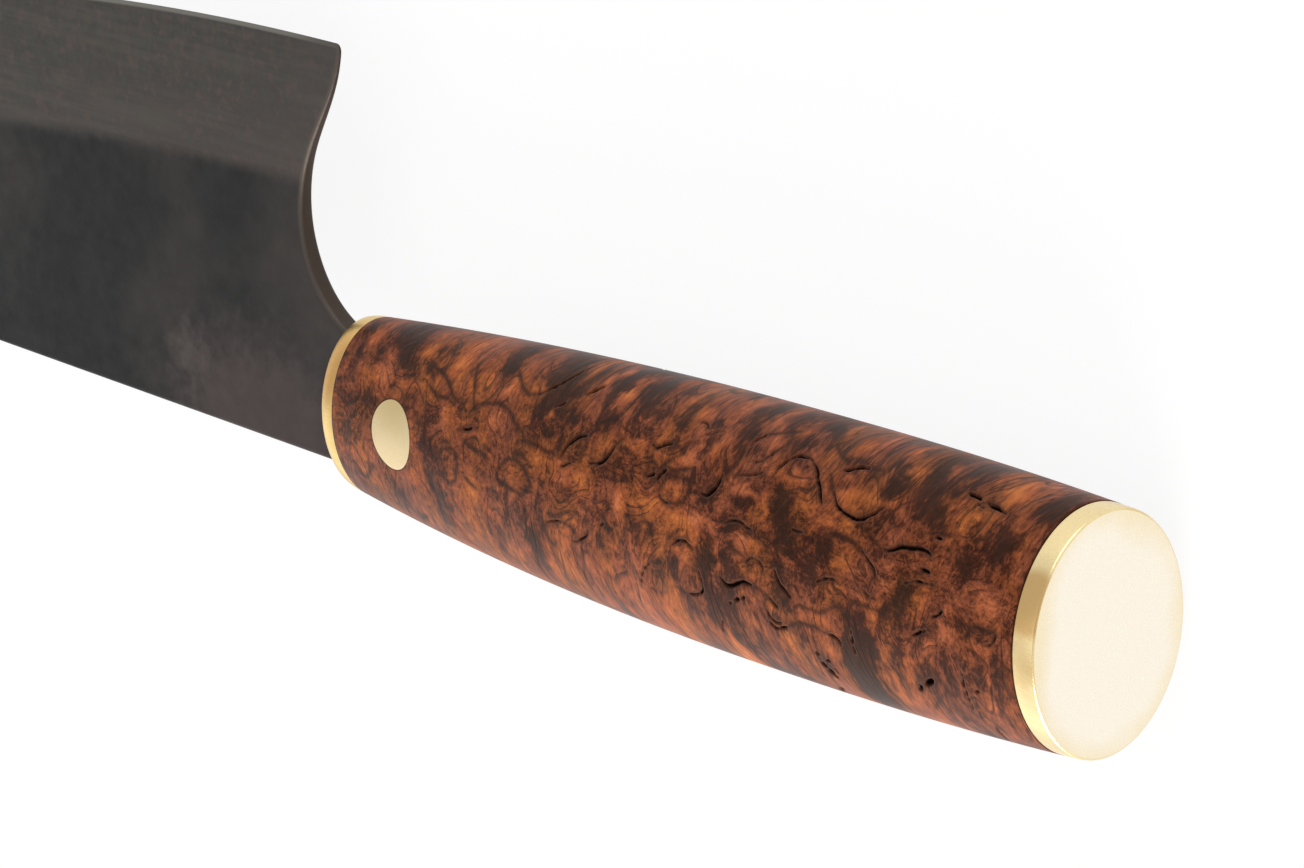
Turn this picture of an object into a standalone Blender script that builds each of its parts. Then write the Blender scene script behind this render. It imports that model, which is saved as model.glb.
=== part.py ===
"""Gyuto kitchen knife: a forged blade with a hidden tang, brass fittings and a burl wood handle.

Runs in Blender 4.5, headless or from the text editor. All lengths are in metres.

The knife lies level on its left side. +X runs from the butt to the tip, +Y from the cutting
edge to the spine, and +Z is the right side of the blade. The world origin is the middle of
the knife's bounding box, at its lowest point.

Every piece is modelled in the knife's own axes, whose origin is the centre of the front
bolster's front face, and is parented to an empty that carries those axes.
"""

import math

import bmesh
import bpy

MM = 0.001

# Handle: an oval at the front bolster, a larger one at the palm swell and a third at the butt
HANDLE_LENGTH = 118.0 * MM
FRONT_HEIGHT = 21.3 * MM
FRONT_THICKNESS = 14.6 * MM
SWELL_FROM_FRONT = 73.0 * MM
SWELL_HEIGHT = 28.3 * MM
SWELL_THICKNESS = 23.6 * MM
BUTT_HEIGHT = 25.75 * MM
BUTT_THICKNESS = 21.6 * MM
BUTT_DROP = 1.7 * MM
FRONT_CURVE = 2.1
BUTT_CURVE = 2.4
DROP_CURVE = 1.6

# Brass fittings
FRONT_BOLSTER_THICKNESS = 2.7 * MM
END_CAP_THICKNESS = 2.6 * MM
BOLSTER_ROUNDING = 0.35 * MM
CAP_ROUNDING = 0.25 * MM
CROSS_PIN_DIAMETER = 8.0 * MM
CROSS_PIN_FROM_FRONT = 15.6 * MM
CROSS_PIN_DROP = 1.6 * MM
DOWEL_DIAMETER = 2.5 * MM
DOWEL_LENGTH = 9.0 * MM
DOWEL_DEPTH_IN_CAP = 1.4 * MM
DOWEL_SPACING = 13.0 * MM

# Blade outline: a straight spine that falls to the tip, and an edge that rises to it
EDGE_LENGTH = 210.0 * MM
BLADE_HEIGHT = 51.0 * MM
SPINE_ABOVE_AXIS = 8.15 * MM
HEEL_AHEAD = 1.2 * MM
EDGE_LOWEST_AHEAD = 9.0 * MM
TIP_ABOVE_EDGE = 33.0 * MM
SPINE_STRAIGHT_LENGTH = 95.0 * MM
EDGE_CURVE = 2.0
SPINE_CURVE = 2.2
TIP_NOSE_HEIGHT = 0.5 * MM

# Blade sections: flats that taper to the tip and to the ground bevel, then a slightly convex bevel
SPINE_THICKNESS = 3.4 * MM
SPINE_THICKNESS_AT_TIP = 1.6 * MM
BEVEL_HEIGHT = 18.0 * MM
BEVEL_SHARE_AT_TIP = 0.7
THICKNESS_AT_BEVEL = 1.95 * MM
BEVEL_BULGE = 0.05 * MM
EDGE_THICKNESS = 0.2 * MM
SPINE_CHAMFER = 0.3 * MM

# Choil: the curved notch between the heel and the bolster, and how far its curve's handles reach
CHOIL_DEPTH = 9.93 * MM
CHOIL_BELOW_AXIS = 21.0 * MM
NECK_BELOW_AXIS = 8.1 * MM
HEEL_LEAN = 1.5 * MM
HEEL_REACH = 8.7 * MM
CHOIL_LOWER_REACH = 9.3 * MM
CHOIL_UPPER_REACH = 5.2 * MM
NECK_REACH = 7.0 * MM
NECK_LEAN = 1.5 * MM

# Tang and the room round it in the wood
TANG_LENGTH = 88.0 * MM
TANG_FRONT_HEIGHT = 13.2 * MM
TANG_END_HEIGHT = 8.0 * MM
TANG_THICKNESS = 2.0 * MM
TANG_DROP = 1.0 * MM
TANG_ROOT = 5.0 * MM
BEDDING_ROOM = 1.4 * MM

# Gap left between pieces that touch, and how far a cutter reaches past what it cuts
FIT_GAP = 0.3 * MM
CUT_PAST = 5.0 * MM

# Fineness
OVAL_POINTS = 56
STATION_SPACING = 5.5 * MM
BLADE_STATIONS = 40
BEVEL_ROWS = 5
ROUND_POINTS = 40
ARC_POINTS = 9
RIM_STEPS = 3
SMOOTH_ANGLE = math.radians(35)

BLADE_REACH = HEEL_AHEAD + EDGE_LENGTH
EDGE_LOWEST = SPINE_ABOVE_AXIS - BLADE_HEIGHT


def clear_scene():
    """Remove whatever the scene holds."""
    for old in list(bpy.data.objects):
        bpy.data.objects.remove(old, do_unlink=True)


def new_collection(name):
    """A collection under the scene's own."""
    collection = bpy.data.collections.new(name)
    bpy.context.scene.collection.children.link(collection)
    return collection


def principled(name, color, roughness, metallic):
    """A Principled material from a linear colour."""
    surface = bpy.data.materials.new(name)
    surface.use_nodes = True
    shader = surface.node_tree.nodes["Principled BSDF"]
    shader.inputs["Base Color"].default_value = (*color, 1.0)
    shader.inputs["Roughness"].default_value = roughness
    shader.inputs["Metallic"].default_value = metallic
    return surface


def spread(start, end, count):
    """Evenly spaced values from start to end, both included."""
    return [start + (end - start) * step / (count - 1) for step in range(count)]


# Handle form


def along_handle(x, front, swell, butt):
    """A size of the handle at x, which runs level through the palm swell."""
    behind = -x
    if behind <= SWELL_FROM_FRONT:
        share = (SWELL_FROM_FRONT - behind) / SWELL_FROM_FRONT
        return swell - (swell - front) * share**FRONT_CURVE
    share = (behind - SWELL_FROM_FRONT) / (HANDLE_LENGTH - SWELL_FROM_FRONT)
    return swell - (swell - butt) * share**BUTT_CURVE


def handle_centre(x):
    """Height of the handle's centre line, which drops towards the edge side at the butt."""
    return -BUTT_DROP * (max(-x, 0.0) / HANDLE_LENGTH) ** DROP_CURVE


def handle_half_height(x):
    """Half of the oval's height at x."""
    return along_handle(x, FRONT_HEIGHT, SWELL_HEIGHT, BUTT_HEIGHT) / 2


def handle_half_thickness(x):
    """Half of the oval's thickness at x."""
    return along_handle(x, FRONT_THICKNESS, SWELL_THICKNESS, BUTT_THICKNESS) / 2


def oval(x, inset=0.0):
    """Points of the handle's section at x, drawn in by inset."""
    half_height = handle_half_height(x) - inset
    half_thickness = handle_half_thickness(x) - inset
    points = []
    for step in range(OVAL_POINTS):
        angle = 2 * math.pi * step / OVAL_POINTS
        y = handle_centre(x) + half_height * math.cos(angle)
        points.append((x, y, half_thickness * math.sin(angle)))
    return points


def handle_stations(front, rear):
    """Places of the sections from front to rear, with one on the palm swell if it lies between."""
    stations = spread(front, rear, 2 + int((front - rear) / STATION_SPACING))
    if rear < -SWELL_FROM_FRONT < front:
        stations.append(-SWELL_FROM_FRONT)
    return sorted(set(stations), reverse=True)


# Blade form


def edge_y(x):
    """Height of the cutting edge at x."""
    share = (x - EDGE_LOWEST_AHEAD) / (BLADE_REACH - EDGE_LOWEST_AHEAD)
    return EDGE_LOWEST + TIP_ABOVE_EDGE * abs(share) ** EDGE_CURVE


def spine_y(x):
    """Height of the spine at x, which ends TIP_NOSE_HEIGHT above the edge."""
    fall = BLADE_HEIGHT - TIP_ABOVE_EDGE - TIP_NOSE_HEIGHT
    share = (x - SPINE_STRAIGHT_LENGTH) / (BLADE_REACH - SPINE_STRAIGHT_LENGTH)
    return SPINE_ABOVE_AXIS - fall * max(share, 0.0) ** SPINE_CURVE


def flat_half_thickness(x, y):
    """Half thickness of the blade between its flats at a point: one plane on each side."""
    to_tip = (SPINE_THICKNESS - SPINE_THICKNESS_AT_TIP) / BLADE_REACH
    to_bevel = (SPINE_THICKNESS - THICKNESS_AT_BEVEL) / (BLADE_HEIGHT - BEVEL_HEIGHT)
    return (SPINE_THICKNESS - to_tip * x - to_bevel * (SPINE_ABOVE_AXIS - y)) / 2


def bevel_height(x):
    """Height of the ground bevel at x: BEVEL_HEIGHT, blending to a share of the blade near the tip."""
    share = BEVEL_SHARE_AT_TIP * (spine_y(x) - edge_y(x))
    return (BEVEL_HEIGHT**-4 + share**-4) ** -0.25


def blade_half_section(x):
    """Right half of the blade's section at x, from the spine's middle to the edge's middle."""
    spine = spine_y(x)
    edge = edge_y(x)
    height = bevel_height(x)
    chamfer = min(SPINE_CHAMFER, (spine - edge - height) / 3)
    top = flat_half_thickness(x, spine)
    points = [
        (x, spine, 0.0),
        (x, spine, top - chamfer),
        (x, spine - chamfer, flat_half_thickness(x, spine - chamfer)),
    ]
    shoulder = flat_half_thickness(x, edge + height)
    for share in spread(1.0, 0.0, BEVEL_ROWS + 1):
        straight = EDGE_THICKNESS / 2 + (shoulder - EDGE_THICKNESS / 2) * share
        bulge = 4 * BEVEL_BULGE * share * (1 - share) * height / BEVEL_HEIGHT
        points.append((x, edge + height * share, straight + bulge))
    points.append((x, edge, 0.0))
    return points


def blade_stations():
    """Places of the blade's sections, closer together towards the tip."""
    return [
        FIT_GAP + (BLADE_REACH - FIT_GAP) * math.sin(math.pi / 2 * share)
        for share in spread(0.0, 1.0, BLADE_STATIONS)
    ]


# Mesh makers


def loft(name, sections, closed):
    """A mesh skinned over sections of equal point count and capped at both ends.

    Closed sections make a tube. Open ones make half of a symmetric piece, which lacks only
    its faces on the plane of symmetry.
    """
    shape = bmesh.new()
    rings = [[shape.verts.new(point) for point in section] for section in sections]
    count = len(rings[0])
    for ring, following in zip(rings, rings[1:]):
        for here in range(count if closed else count - 1):
            beside = (here + 1) % count
            shape.faces.new((ring[here], ring[beside], following[beside], following[here]))
    shape.faces.new(list(reversed(rings[0])))
    shape.faces.new(rings[-1])
    if closed:
        bmesh.ops.recalc_face_normals(shape, faces=shape.faces)
    mesh = bpy.data.meshes.new(name)
    shape.to_mesh(mesh)
    shape.free()
    return mesh


def rim_steps(radius):
    """Depth from the face and inset of each section of a rim's quarter round, from the face."""
    angles = spread(0.0, math.pi / 2, RIM_STEPS + 1)[:-1]
    return [(radius * (1 - math.cos(angle)), radius * (1 - math.sin(angle))) for angle in angles]


def oval_block(name, front, rear, front_rounding=0.0, rear_rounding=0.0):
    """The handle's form between two places along it, with a quarter round on its rims."""
    sections = []
    if front_rounding:
        sections += [oval(front - depth, inset) for depth, inset in rim_steps(front_rounding)]
    for x in handle_stations(front - front_rounding, rear + rear_rounding):
        sections.append(oval(x))
    if rear_rounding:
        rim = [oval(rear + depth, inset) for depth, inset in rim_steps(rear_rounding)]
        sections += reversed(rim)
    return loft(name, sections, closed=True)


def rod(name, diameter, length):
    """A round rod along Z, centred on its middle."""
    shape = bmesh.new()
    bmesh.ops.create_cone(
        shape,
        cap_ends=True,
        segments=ROUND_POINTS,
        radius1=diameter / 2,
        radius2=diameter / 2,
        depth=length,
    )
    mesh = bpy.data.meshes.new(name)
    shape.to_mesh(mesh)
    shape.free()
    return mesh


def curve_mesh(name, spline_type, fill, thickness):
    """A flat outline in the XY plane, filled and given its thickness along Z, as a mesh.

    fill adds the outline's points to the one cyclic spline that it is given.
    """
    outline = bpy.data.curves.new(name, "CURVE")
    outline.dimensions = "2D"
    outline.fill_mode = "BOTH"
    outline.extrude = thickness / 2
    outline.render_resolution_u = 0
    spline = outline.splines.new(spline_type)
    fill(spline)
    spline.use_cyclic_u = True
    holder = bpy.data.objects.new(name, outline)
    bpy.context.scene.collection.objects.link(holder)
    graph = bpy.context.evaluated_depsgraph_get()
    mesh = bpy.data.meshes.new_from_object(holder.evaluated_get(graph))
    bpy.data.objects.remove(holder)
    shape = bmesh.new()
    shape.from_mesh(mesh)
    bmesh.ops.remove_doubles(shape, verts=shape.verts, dist=0.001 * MM)
    bmesh.ops.recalc_face_normals(shape, faces=shape.faces)
    shape.to_mesh(mesh)
    shape.free()
    mesh.name = name
    return mesh


def tang_plate(name, front, grow):
    """The tang's plate from x = front, grown on every side by grow.

    It tapers from the bolster's front, x = 0, to its round end, and is straight ahead of it.
    """
    end_centre = TANG_END_HEIGHT / 2 - TANG_LENGTH
    front_half = TANG_FRONT_HEIGHT / 2 + grow
    end_half = TANG_END_HEIGHT / 2 + grow
    upper = [(front, front_half + (end_half - front_half) * min(front, 0.0) / end_centre)]
    if front > 0.0:
        upper.append((0.0, front_half))
    lower = [(x, -y) for x, y in reversed(upper)]
    end = [
        (end_centre - end_half * math.cos(angle), end_half * math.sin(angle))
        for angle in spread(math.pi / 2, -math.pi / 2, ARC_POINTS)
    ]

    def fill(spline):
        points = upper + end + lower
        spline.points.add(len(points) - 1)
        for point, (x, y) in zip(spline.points, points):
            point.co = (x, y - TANG_DROP, 0.0, 1.0)

    return curve_mesh(name, "POLY", fill, TANG_THICKNESS + 2 * grow)


def choil_plate(name):
    """What the maker grinds away behind the heel: its front is the choil's curve."""
    heel = (HEEL_AHEAD, EDGE_LOWEST)
    below = EDGE_LOWEST - CUT_PAST
    behind = -CUT_PAST
    # Each corner: its point, then the ends of the handles before and after it, None where straight
    corners = [
        ((behind, below), None, None),
        ((HEEL_AHEAD, below), None, None),
        (heel, None, (HEEL_AHEAD + HEEL_LEAN, EDGE_LOWEST + HEEL_REACH)),
        (
            (CHOIL_DEPTH, -CHOIL_BELOW_AXIS),
            (CHOIL_DEPTH, -CHOIL_BELOW_AXIS - CHOIL_LOWER_REACH),
            (CHOIL_DEPTH, -CHOIL_BELOW_AXIS + CHOIL_UPPER_REACH),
        ),
        ((0.0, -NECK_BELOW_AXIS), (NECK_REACH, -NECK_BELOW_AXIS - NECK_LEAN), None),
        ((behind, -NECK_BELOW_AXIS), None, None),
    ]

    def fill(spline):
        spline.bezier_points.add(len(corners) - 1)
        spline.resolution_u = 14
        for point, (place, before, after) in zip(spline.bezier_points, corners):
            point.co = (*place, 0.0)
            point.handle_left_type = "FREE" if before else "VECTOR"
            point.handle_right_type = "FREE" if after else "VECTOR"
            point.handle_left = (*(before or place), 0.0)
            point.handle_right = (*(after or place), 0.0)

    return curve_mesh(name, "BEZIER", fill, 4 * SPINE_THICKNESS)


# Objects


class Bench:
    """Puts pieces and cutters into their collections and carries them on the knife's axes."""

    def __init__(self):
        self.pieces = new_collection("gyuto_knife")
        self.cutters = new_collection("cutters")
        self.axes = bpy.data.objects.new("knife_axes", None)
        self.axes.empty_display_size = BLADE_HEIGHT
        self.axes.location = knife_place()
        self.pieces.objects.link(self.axes)

    def piece(self, name, mesh, surface):
        """A sub-part with its material, shaded smooth but for its edges."""
        mesh.materials.append(surface)
        mesh.shade_smooth()
        mesh.set_sharp_from_angle(angle=SMOOTH_ANGLE)
        return self.place(name, mesh, self.pieces)

    def cutter(self, name, mesh):
        """A solid that only shapes others, so it stays out of the render."""
        obj = self.place(name, mesh, self.cutters)
        obj.hide_render = True
        obj.display_type = "WIRE"
        return obj

    def place(self, name, mesh, collection):
        """An object that rides on the knife's axes."""
        obj = bpy.data.objects.new(name, mesh)
        collection.objects.link(obj)
        obj.parent = self.axes
        return obj


def knife_place():
    """Where the knife's own axes stand, so that the bounding box is centred over the origin."""
    stations = handle_stations(0.0, -HANDLE_LENGTH)
    top = max(handle_centre(x) + handle_half_height(x) for x in stations)
    top = max(top, SPINE_ABOVE_AXIS)
    half_thickness = max(handle_half_thickness(x) for x in stations)
    return ((HANDLE_LENGTH - BLADE_REACH) / 2, -(top + EDGE_LOWEST) / 2, half_thickness)


def shape_with(obj, tool, operation):
    """Cut obj with a tool, join the tool to it or keep what the two share."""
    modifier = obj.modifiers.new(tool.name, "BOOLEAN")
    modifier.operation = operation
    modifier.solver = "EXACT"
    modifier.object = tool


def mirror_to_left(obj):
    """Complete a right half, open on the plane Z = 0."""
    modifier = obj.modifiers.new("left side", "MIRROR")
    modifier.use_axis = (False, False, True)
    modifier.merge_threshold = 0.001 * MM


def make_cutters(bench):
    """The tools that bore, slot and trim the pieces, by name."""
    whole_handle = oval_block("handle_form", 0.0, -HANDLE_LENGTH)
    tools = {
        "handle_form": bench.cutter("handle_form", whole_handle),
        "choil": bench.cutter("choil_cut", choil_plate("choil_cut")),
        "tang": bench.cutter("tang_blank", tang_plate("tang_blank", TANG_ROOT, 0.0)),
        "slot": bench.cutter("tang_slot", tang_plate("tang_slot", CUT_PAST, FIT_GAP)),
        "bore": bench.cutter("tang_bore", tang_plate("tang_bore", 0.0, BEDDING_ROOM)),
    }
    hole = rod("pin_hole", CROSS_PIN_DIAMETER + 2 * FIT_GAP, SWELL_THICKNESS + CUT_PAST)
    tools["pin_hole"] = set_at_pin(bench.cutter("pin_hole", hole))
    for side, y in dowel_places().items():
        name = f"dowel_hole_{side}"
        blind = rod(name, DOWEL_DIAMETER + 2 * FIT_GAP, DOWEL_LENGTH + 2 * FIT_GAP)
        tools[name] = set_at_dowel(bench.cutter(name, blind), y)
    return tools


def set_at_pin(obj):
    """Stand a rod on the cross pin's axis."""
    obj.location = (-CROSS_PIN_FROM_FRONT, -CROSS_PIN_DROP, 0.0)
    return obj


def dowel_places():
    """Height of each cap dowel, either side of the butt's centre."""
    centre = handle_centre(-HANDLE_LENGTH)
    return {"spine": centre + DOWEL_SPACING / 2, "edge": centre - DOWEL_SPACING / 2}


def set_at_dowel(obj, y):
    """Lay a rod along the handle, with its end in the cap."""
    cap_front = -(HANDLE_LENGTH - END_CAP_THICKNESS)
    obj.location = (cap_front - DOWEL_DEPTH_IN_CAP + DOWEL_LENGTH / 2, y, 0.0)
    obj.rotation_euler = (0.0, math.pi / 2, 0.0)
    return obj


def make_blade(bench, tools, steel):
    """Blade and hidden tang: half a loft mirrored, the choil ground out and the tang joined."""
    sections = [blade_half_section(x) for x in blade_stations()]
    blade = bench.piece("blade", loft("blade", sections, closed=False), steel)
    mirror_to_left(blade)
    shape_with(blade, tools["choil"], "DIFFERENCE")
    shape_with(blade, tools["tang"], "UNION")
    shape_with(blade, tools["pin_hole"], "DIFFERENCE")


def make_front_bolster(bench, tools, brass):
    """Brass plate with the tang's slot, its front rim rounded over."""
    plate = oval_block(
        "front_bolster", 0.0, -FRONT_BOLSTER_THICKNESS, front_rounding=BOLSTER_ROUNDING
    )
    bolster = bench.piece("front_bolster", plate, brass)
    shape_with(bolster, tools["slot"], "DIFFERENCE")


def make_handle_body(bench, tools, wood):
    """Wood between the two plates, bored for the tang, the pin and the dowels."""
    front = -(FRONT_BOLSTER_THICKNESS + FIT_GAP)
    rear = -(HANDLE_LENGTH - END_CAP_THICKNESS - FIT_GAP)
    body = bench.piece("handle_body", oval_block("handle_body", front, rear), wood)
    shape_with(body, tools["bore"], "DIFFERENCE")
    shape_with(body, tools["pin_hole"], "DIFFERENCE")
    for side in dowel_places():
        shape_with(body, tools[f"dowel_hole_{side}"], "DIFFERENCE")


def make_tang_bedding(bench, tools, epoxy):
    """Cured epoxy between the tang and the bore, open to the bolster."""
    front = -(FRONT_BOLSTER_THICKNESS + FIT_GAP)
    sleeve = tang_plate("tang_bedding", front, BEDDING_ROOM - FIT_GAP)
    bedding = bench.piece("tang_bedding", sleeve, epoxy)
    shape_with(bedding, tools["slot"], "DIFFERENCE")
    shape_with(bedding, tools["pin_hole"], "DIFFERENCE")


def make_cross_pin(bench, tools, brass):
    """Pin through wood and tang, both ends dressed to the handle's surface."""
    blank = rod("cross_pin", CROSS_PIN_DIAMETER, SWELL_THICKNESS)
    pin = set_at_pin(bench.piece("cross_pin", blank, brass))
    shape_with(pin, tools["handle_form"], "INTERSECT")


def make_end_cap(bench, tools, brass):
    """Brass plate on the butt, its rear rim eased and its front drilled for the dowels."""
    front = -(HANDLE_LENGTH - END_CAP_THICKNESS)
    plate = oval_block("end_cap", front, -HANDLE_LENGTH, rear_rounding=CAP_ROUNDING)
    cap = bench.piece("end_cap", plate, brass)
    for side in dowel_places():
        shape_with(cap, tools[f"dowel_hole_{side}"], "DIFFERENCE")


def make_cap_dowels(bench, brass):
    """Two blind dowels that locate the cap on the wood."""
    for side, y in dowel_places().items():
        name = f"cap_dowel_{side}"
        set_at_dowel(bench.piece(name, rod(name, DOWEL_DIAMETER, DOWEL_LENGTH), brass), y)


def main():
    """Build the whole knife."""
    clear_scene()
    bench = Bench()
    tools = make_cutters(bench)
    steel = principled("forge_finished_steel", (0.040, 0.037, 0.036), 0.42, 1.0)
    blond_brass = principled("satin_brass", (0.72, 0.52, 0.22), 0.30, 1.0)
    pin_brass = principled("dressed_brass_pin", (0.70, 0.55, 0.28), 0.35, 1.0)
    burl = principled("oiled_birch_burl", (0.16, 0.055, 0.026), 0.38, 0.0)
    epoxy = principled("cured_epoxy", (0.30, 0.24, 0.12), 0.30, 0.0)
    make_blade(bench, tools, steel)
    make_front_bolster(bench, tools, blond_brass)
    make_handle_body(bench, tools, burl)
    make_tang_bedding(bench, tools, epoxy)
    make_cross_pin(bench, tools, pin_brass)
    make_end_cap(bench, tools, blond_brass)
    make_cap_dowels(bench, blond_brass)


main()
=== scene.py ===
"""Looks of a gyuto kitchen knife: a forged blade, brass fittings and a figured burl handle.

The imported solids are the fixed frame. Finer pieces stand for the ones that show, each with a
procedural finish, and the solids that lie inside the handle keep their shape and get a finish.
Lengths are in metres unless a name or a comment says mm, and angles are in degrees.

The knife's own axes start at the centre of the front bolster's front face: +X runs to the tip,
+Y to the spine and +Z out of the right side. A station is a distance behind the bolster's front,
in mm, and an angle round the handle is 0 on the right side, 90 at the spine, -90 at the edge side.
"""

from __future__ import annotations

import logging
import math
import random
from dataclasses import dataclass, field, fields, replace
from enum import Enum
from functools import partial
from typing import Any, Callable, Iterable, Sequence

import bmesh
import bpy
import numpy as np
from mathutils import Matrix, Quaternion, Vector, noise
from mathutils.geometry import interpolate_bezier
from mathutils.kdtree import KDTree


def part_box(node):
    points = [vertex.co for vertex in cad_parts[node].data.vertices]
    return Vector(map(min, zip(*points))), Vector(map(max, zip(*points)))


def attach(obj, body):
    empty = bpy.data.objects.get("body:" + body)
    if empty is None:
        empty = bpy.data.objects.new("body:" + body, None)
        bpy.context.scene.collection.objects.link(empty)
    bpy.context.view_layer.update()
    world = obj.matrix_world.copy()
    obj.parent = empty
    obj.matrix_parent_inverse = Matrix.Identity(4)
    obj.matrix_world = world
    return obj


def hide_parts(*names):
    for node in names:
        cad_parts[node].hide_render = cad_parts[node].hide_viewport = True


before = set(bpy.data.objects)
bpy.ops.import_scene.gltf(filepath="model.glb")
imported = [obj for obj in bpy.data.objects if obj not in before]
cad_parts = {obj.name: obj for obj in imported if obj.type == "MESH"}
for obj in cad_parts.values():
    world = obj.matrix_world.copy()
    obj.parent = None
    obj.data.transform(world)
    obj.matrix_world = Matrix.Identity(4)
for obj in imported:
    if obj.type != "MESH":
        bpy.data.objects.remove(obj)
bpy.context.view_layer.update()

MM = 0.001
BODY = "root"
# Points closer than this, in metres, count as one place
TOUCHING = 1e-6

# Node types by the part that each plays here
ATTRIBUTE = "ShaderNodeAttribute"
BUMP = "ShaderNodeBump"
COMBINE = "ShaderNodeCombineXYZ"
MAPPING = "ShaderNodeMapping"
MATH = "ShaderNodeMath"
MIX = "ShaderNodeMix"
NOISE = "ShaderNodeTexNoise"
OUTPUT = "ShaderNodeOutputMaterial"
RAMP = "ShaderNodeValToRGB"
RANGE = "ShaderNodeMapRange"
SEPARATE = "ShaderNodeSeparateXYZ"
SURFACE = "ShaderNodeBsdfPrincipled"
VECTOR = "ShaderNodeVectorMath"

# Adds a node to one tree: add_node with its tree given
Adder = Callable[..., bpy.types.Node]

log = logging.getLogger("gyuto")


class Slot(Enum):
    """The record's material slots."""

    STEEL = "blade_steel"
    PLATE = "plate_brass"
    PIN = "pin_brass"
    WOOD = "burl_wood"
    EPOXY = "epoxy"


# Helpers


def srgb(colour: str) -> tuple[float, float, float, float]:
    """Turns an sRGB hex colour into linear RGBA.

    Args:
        colour: six hex digits after a hash.

    Returns:
        Linear red, green, blue and an alpha of 1.
    """
    levels = [int(colour[place : place + 2], 16) / 255 for place in (1, 3, 5)]
    linear = [v / 12.92 if v <= 0.04045 else ((v + 0.055) / 1.055) ** 2.4 for v in levels]
    return (*linear, 1.0)


def add_node(
    tree: bpy.types.NodeTree,
    kind: str,
    inputs: dict | Sequence = (),
    stops: Sequence[tuple[float, str]] = (),
    **settings: Any,
) -> bpy.types.Node:
    """Adds a node with its settings, input values and links.

    Args:
        tree: the shader or geometry tree.
        kind: the node's Blender type.
        inputs: value, socket or node (its first shown output) of each input, by name or in order.
        stops: position and hex colour of each stop, in order, if it is a colour ramp.
        settings: the node's own properties.

    Returns:
        The new node.
    """
    node = tree.nodes.new(kind)
    for name, value in settings.items():
        setattr(node, name, value)
    for key, value in inputs.items() if isinstance(inputs, dict) else enumerate(inputs):
        if isinstance(value, bpy.types.Node):
            value = next(socket for socket in value.outputs if socket.enabled)
        if isinstance(value, bpy.types.NodeSocket):
            tree.links.new(value, node.inputs[key])
        else:
            node.inputs[key].default_value = value
    for number, (position, colour) in enumerate(stops):
        elements = node.color_ramp.elements
        element = elements[number] if number < len(elements) else elements.new(1.0)
        element.position = position
        element.color = srgb(colour)
    return node


def new_object(name: str, data: bpy.types.ID) -> bpy.types.Object:
    """Links an object to the scene.

    Args:
        name: the object's name.
        data: its mesh, curve, light or camera.

    Returns:
        The object.
    """
    obj = bpy.data.objects.new(name, data)
    bpy.context.scene.collection.objects.link(obj)
    return obj


def baked(obj: bpy.types.Object, name: str) -> bpy.types.Mesh:
    """Turns an object with its modifiers into a plain mesh, and removes the object.

    Args:
        obj: the object whose modifiers make the shape.
        name: the new mesh's name.

    Returns:
        The mesh.
    """
    bpy.context.view_layer.update()
    graph = bpy.context.evaluated_depsgraph_get()
    mesh = bpy.data.meshes.new_from_object(obj.evaluated_get(graph), depsgraph=graph)
    mesh.name = name
    bpy.data.objects.remove(obj)
    return mesh


def filled(mesh: bpy.types.Mesh | str, shape: bmesh.types.BMesh, smooth: bool = False) -> bpy.types.Mesh:
    """Fills a mesh from a shape, which is freed.

    Args:
        mesh: the mesh, or the name of a new one.
        shape: the shape.
        smooth: whether all its faces are made smooth.

    Returns:
        The mesh.
    """
    if isinstance(mesh, str):
        mesh = bpy.data.meshes.new(mesh)
    for face in shape.faces if smooth else ():
        face.smooth = True
    shape.to_mesh(mesh)
    shape.free()
    return mesh


def store(mesh: bpy.types.Mesh, name: str, values: Iterable[float]) -> None:
    """Stores one number for each vertex, for a material to read.

    Args:
        mesh: the mesh.
        name: the attribute's name.
        values: a number for each vertex.
    """
    layer = mesh.attributes.get(name) or mesh.attributes.new(name, "FLOAT", "POINT")
    layer.data.foreach_set("value", np.asarray(list(values), np.float32))


def nearest_of(places: Sequence[Vector]) -> KDTree:
    """Makes a search tree over places.

    Args:
        places: the places.

    Returns:
        The tree, which finds the nearest place, its number and how far it is.
    """
    tree = KDTree(len(places))
    for number, place in enumerate(places):
        tree.insert(place, number)
    tree.balance()
    return tree


# Frame and handle form


@dataclass(frozen=True)
class KnifeAxes:
    """The knife's own axes in the frame.

    Args:
        origin: centre of the front bolster's front face.
    """

    origin: Vector

    @classmethod
    def from_frame(cls) -> "KnifeAxes":
        """Reads the axes from the front bolster's box."""
        low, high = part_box("front_bolster")
        return cls(Vector((high.x, (low.y + high.y) / 2, (low.z + high.z) / 2)))

    def settle(self, mesh: bpy.types.Mesh) -> bpy.types.Mesh:
        """Moves a mesh that was made in the knife's axes to its place in the frame."""
        mesh.transform(Matrix.Translation(self.origin))
        return mesh


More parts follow.
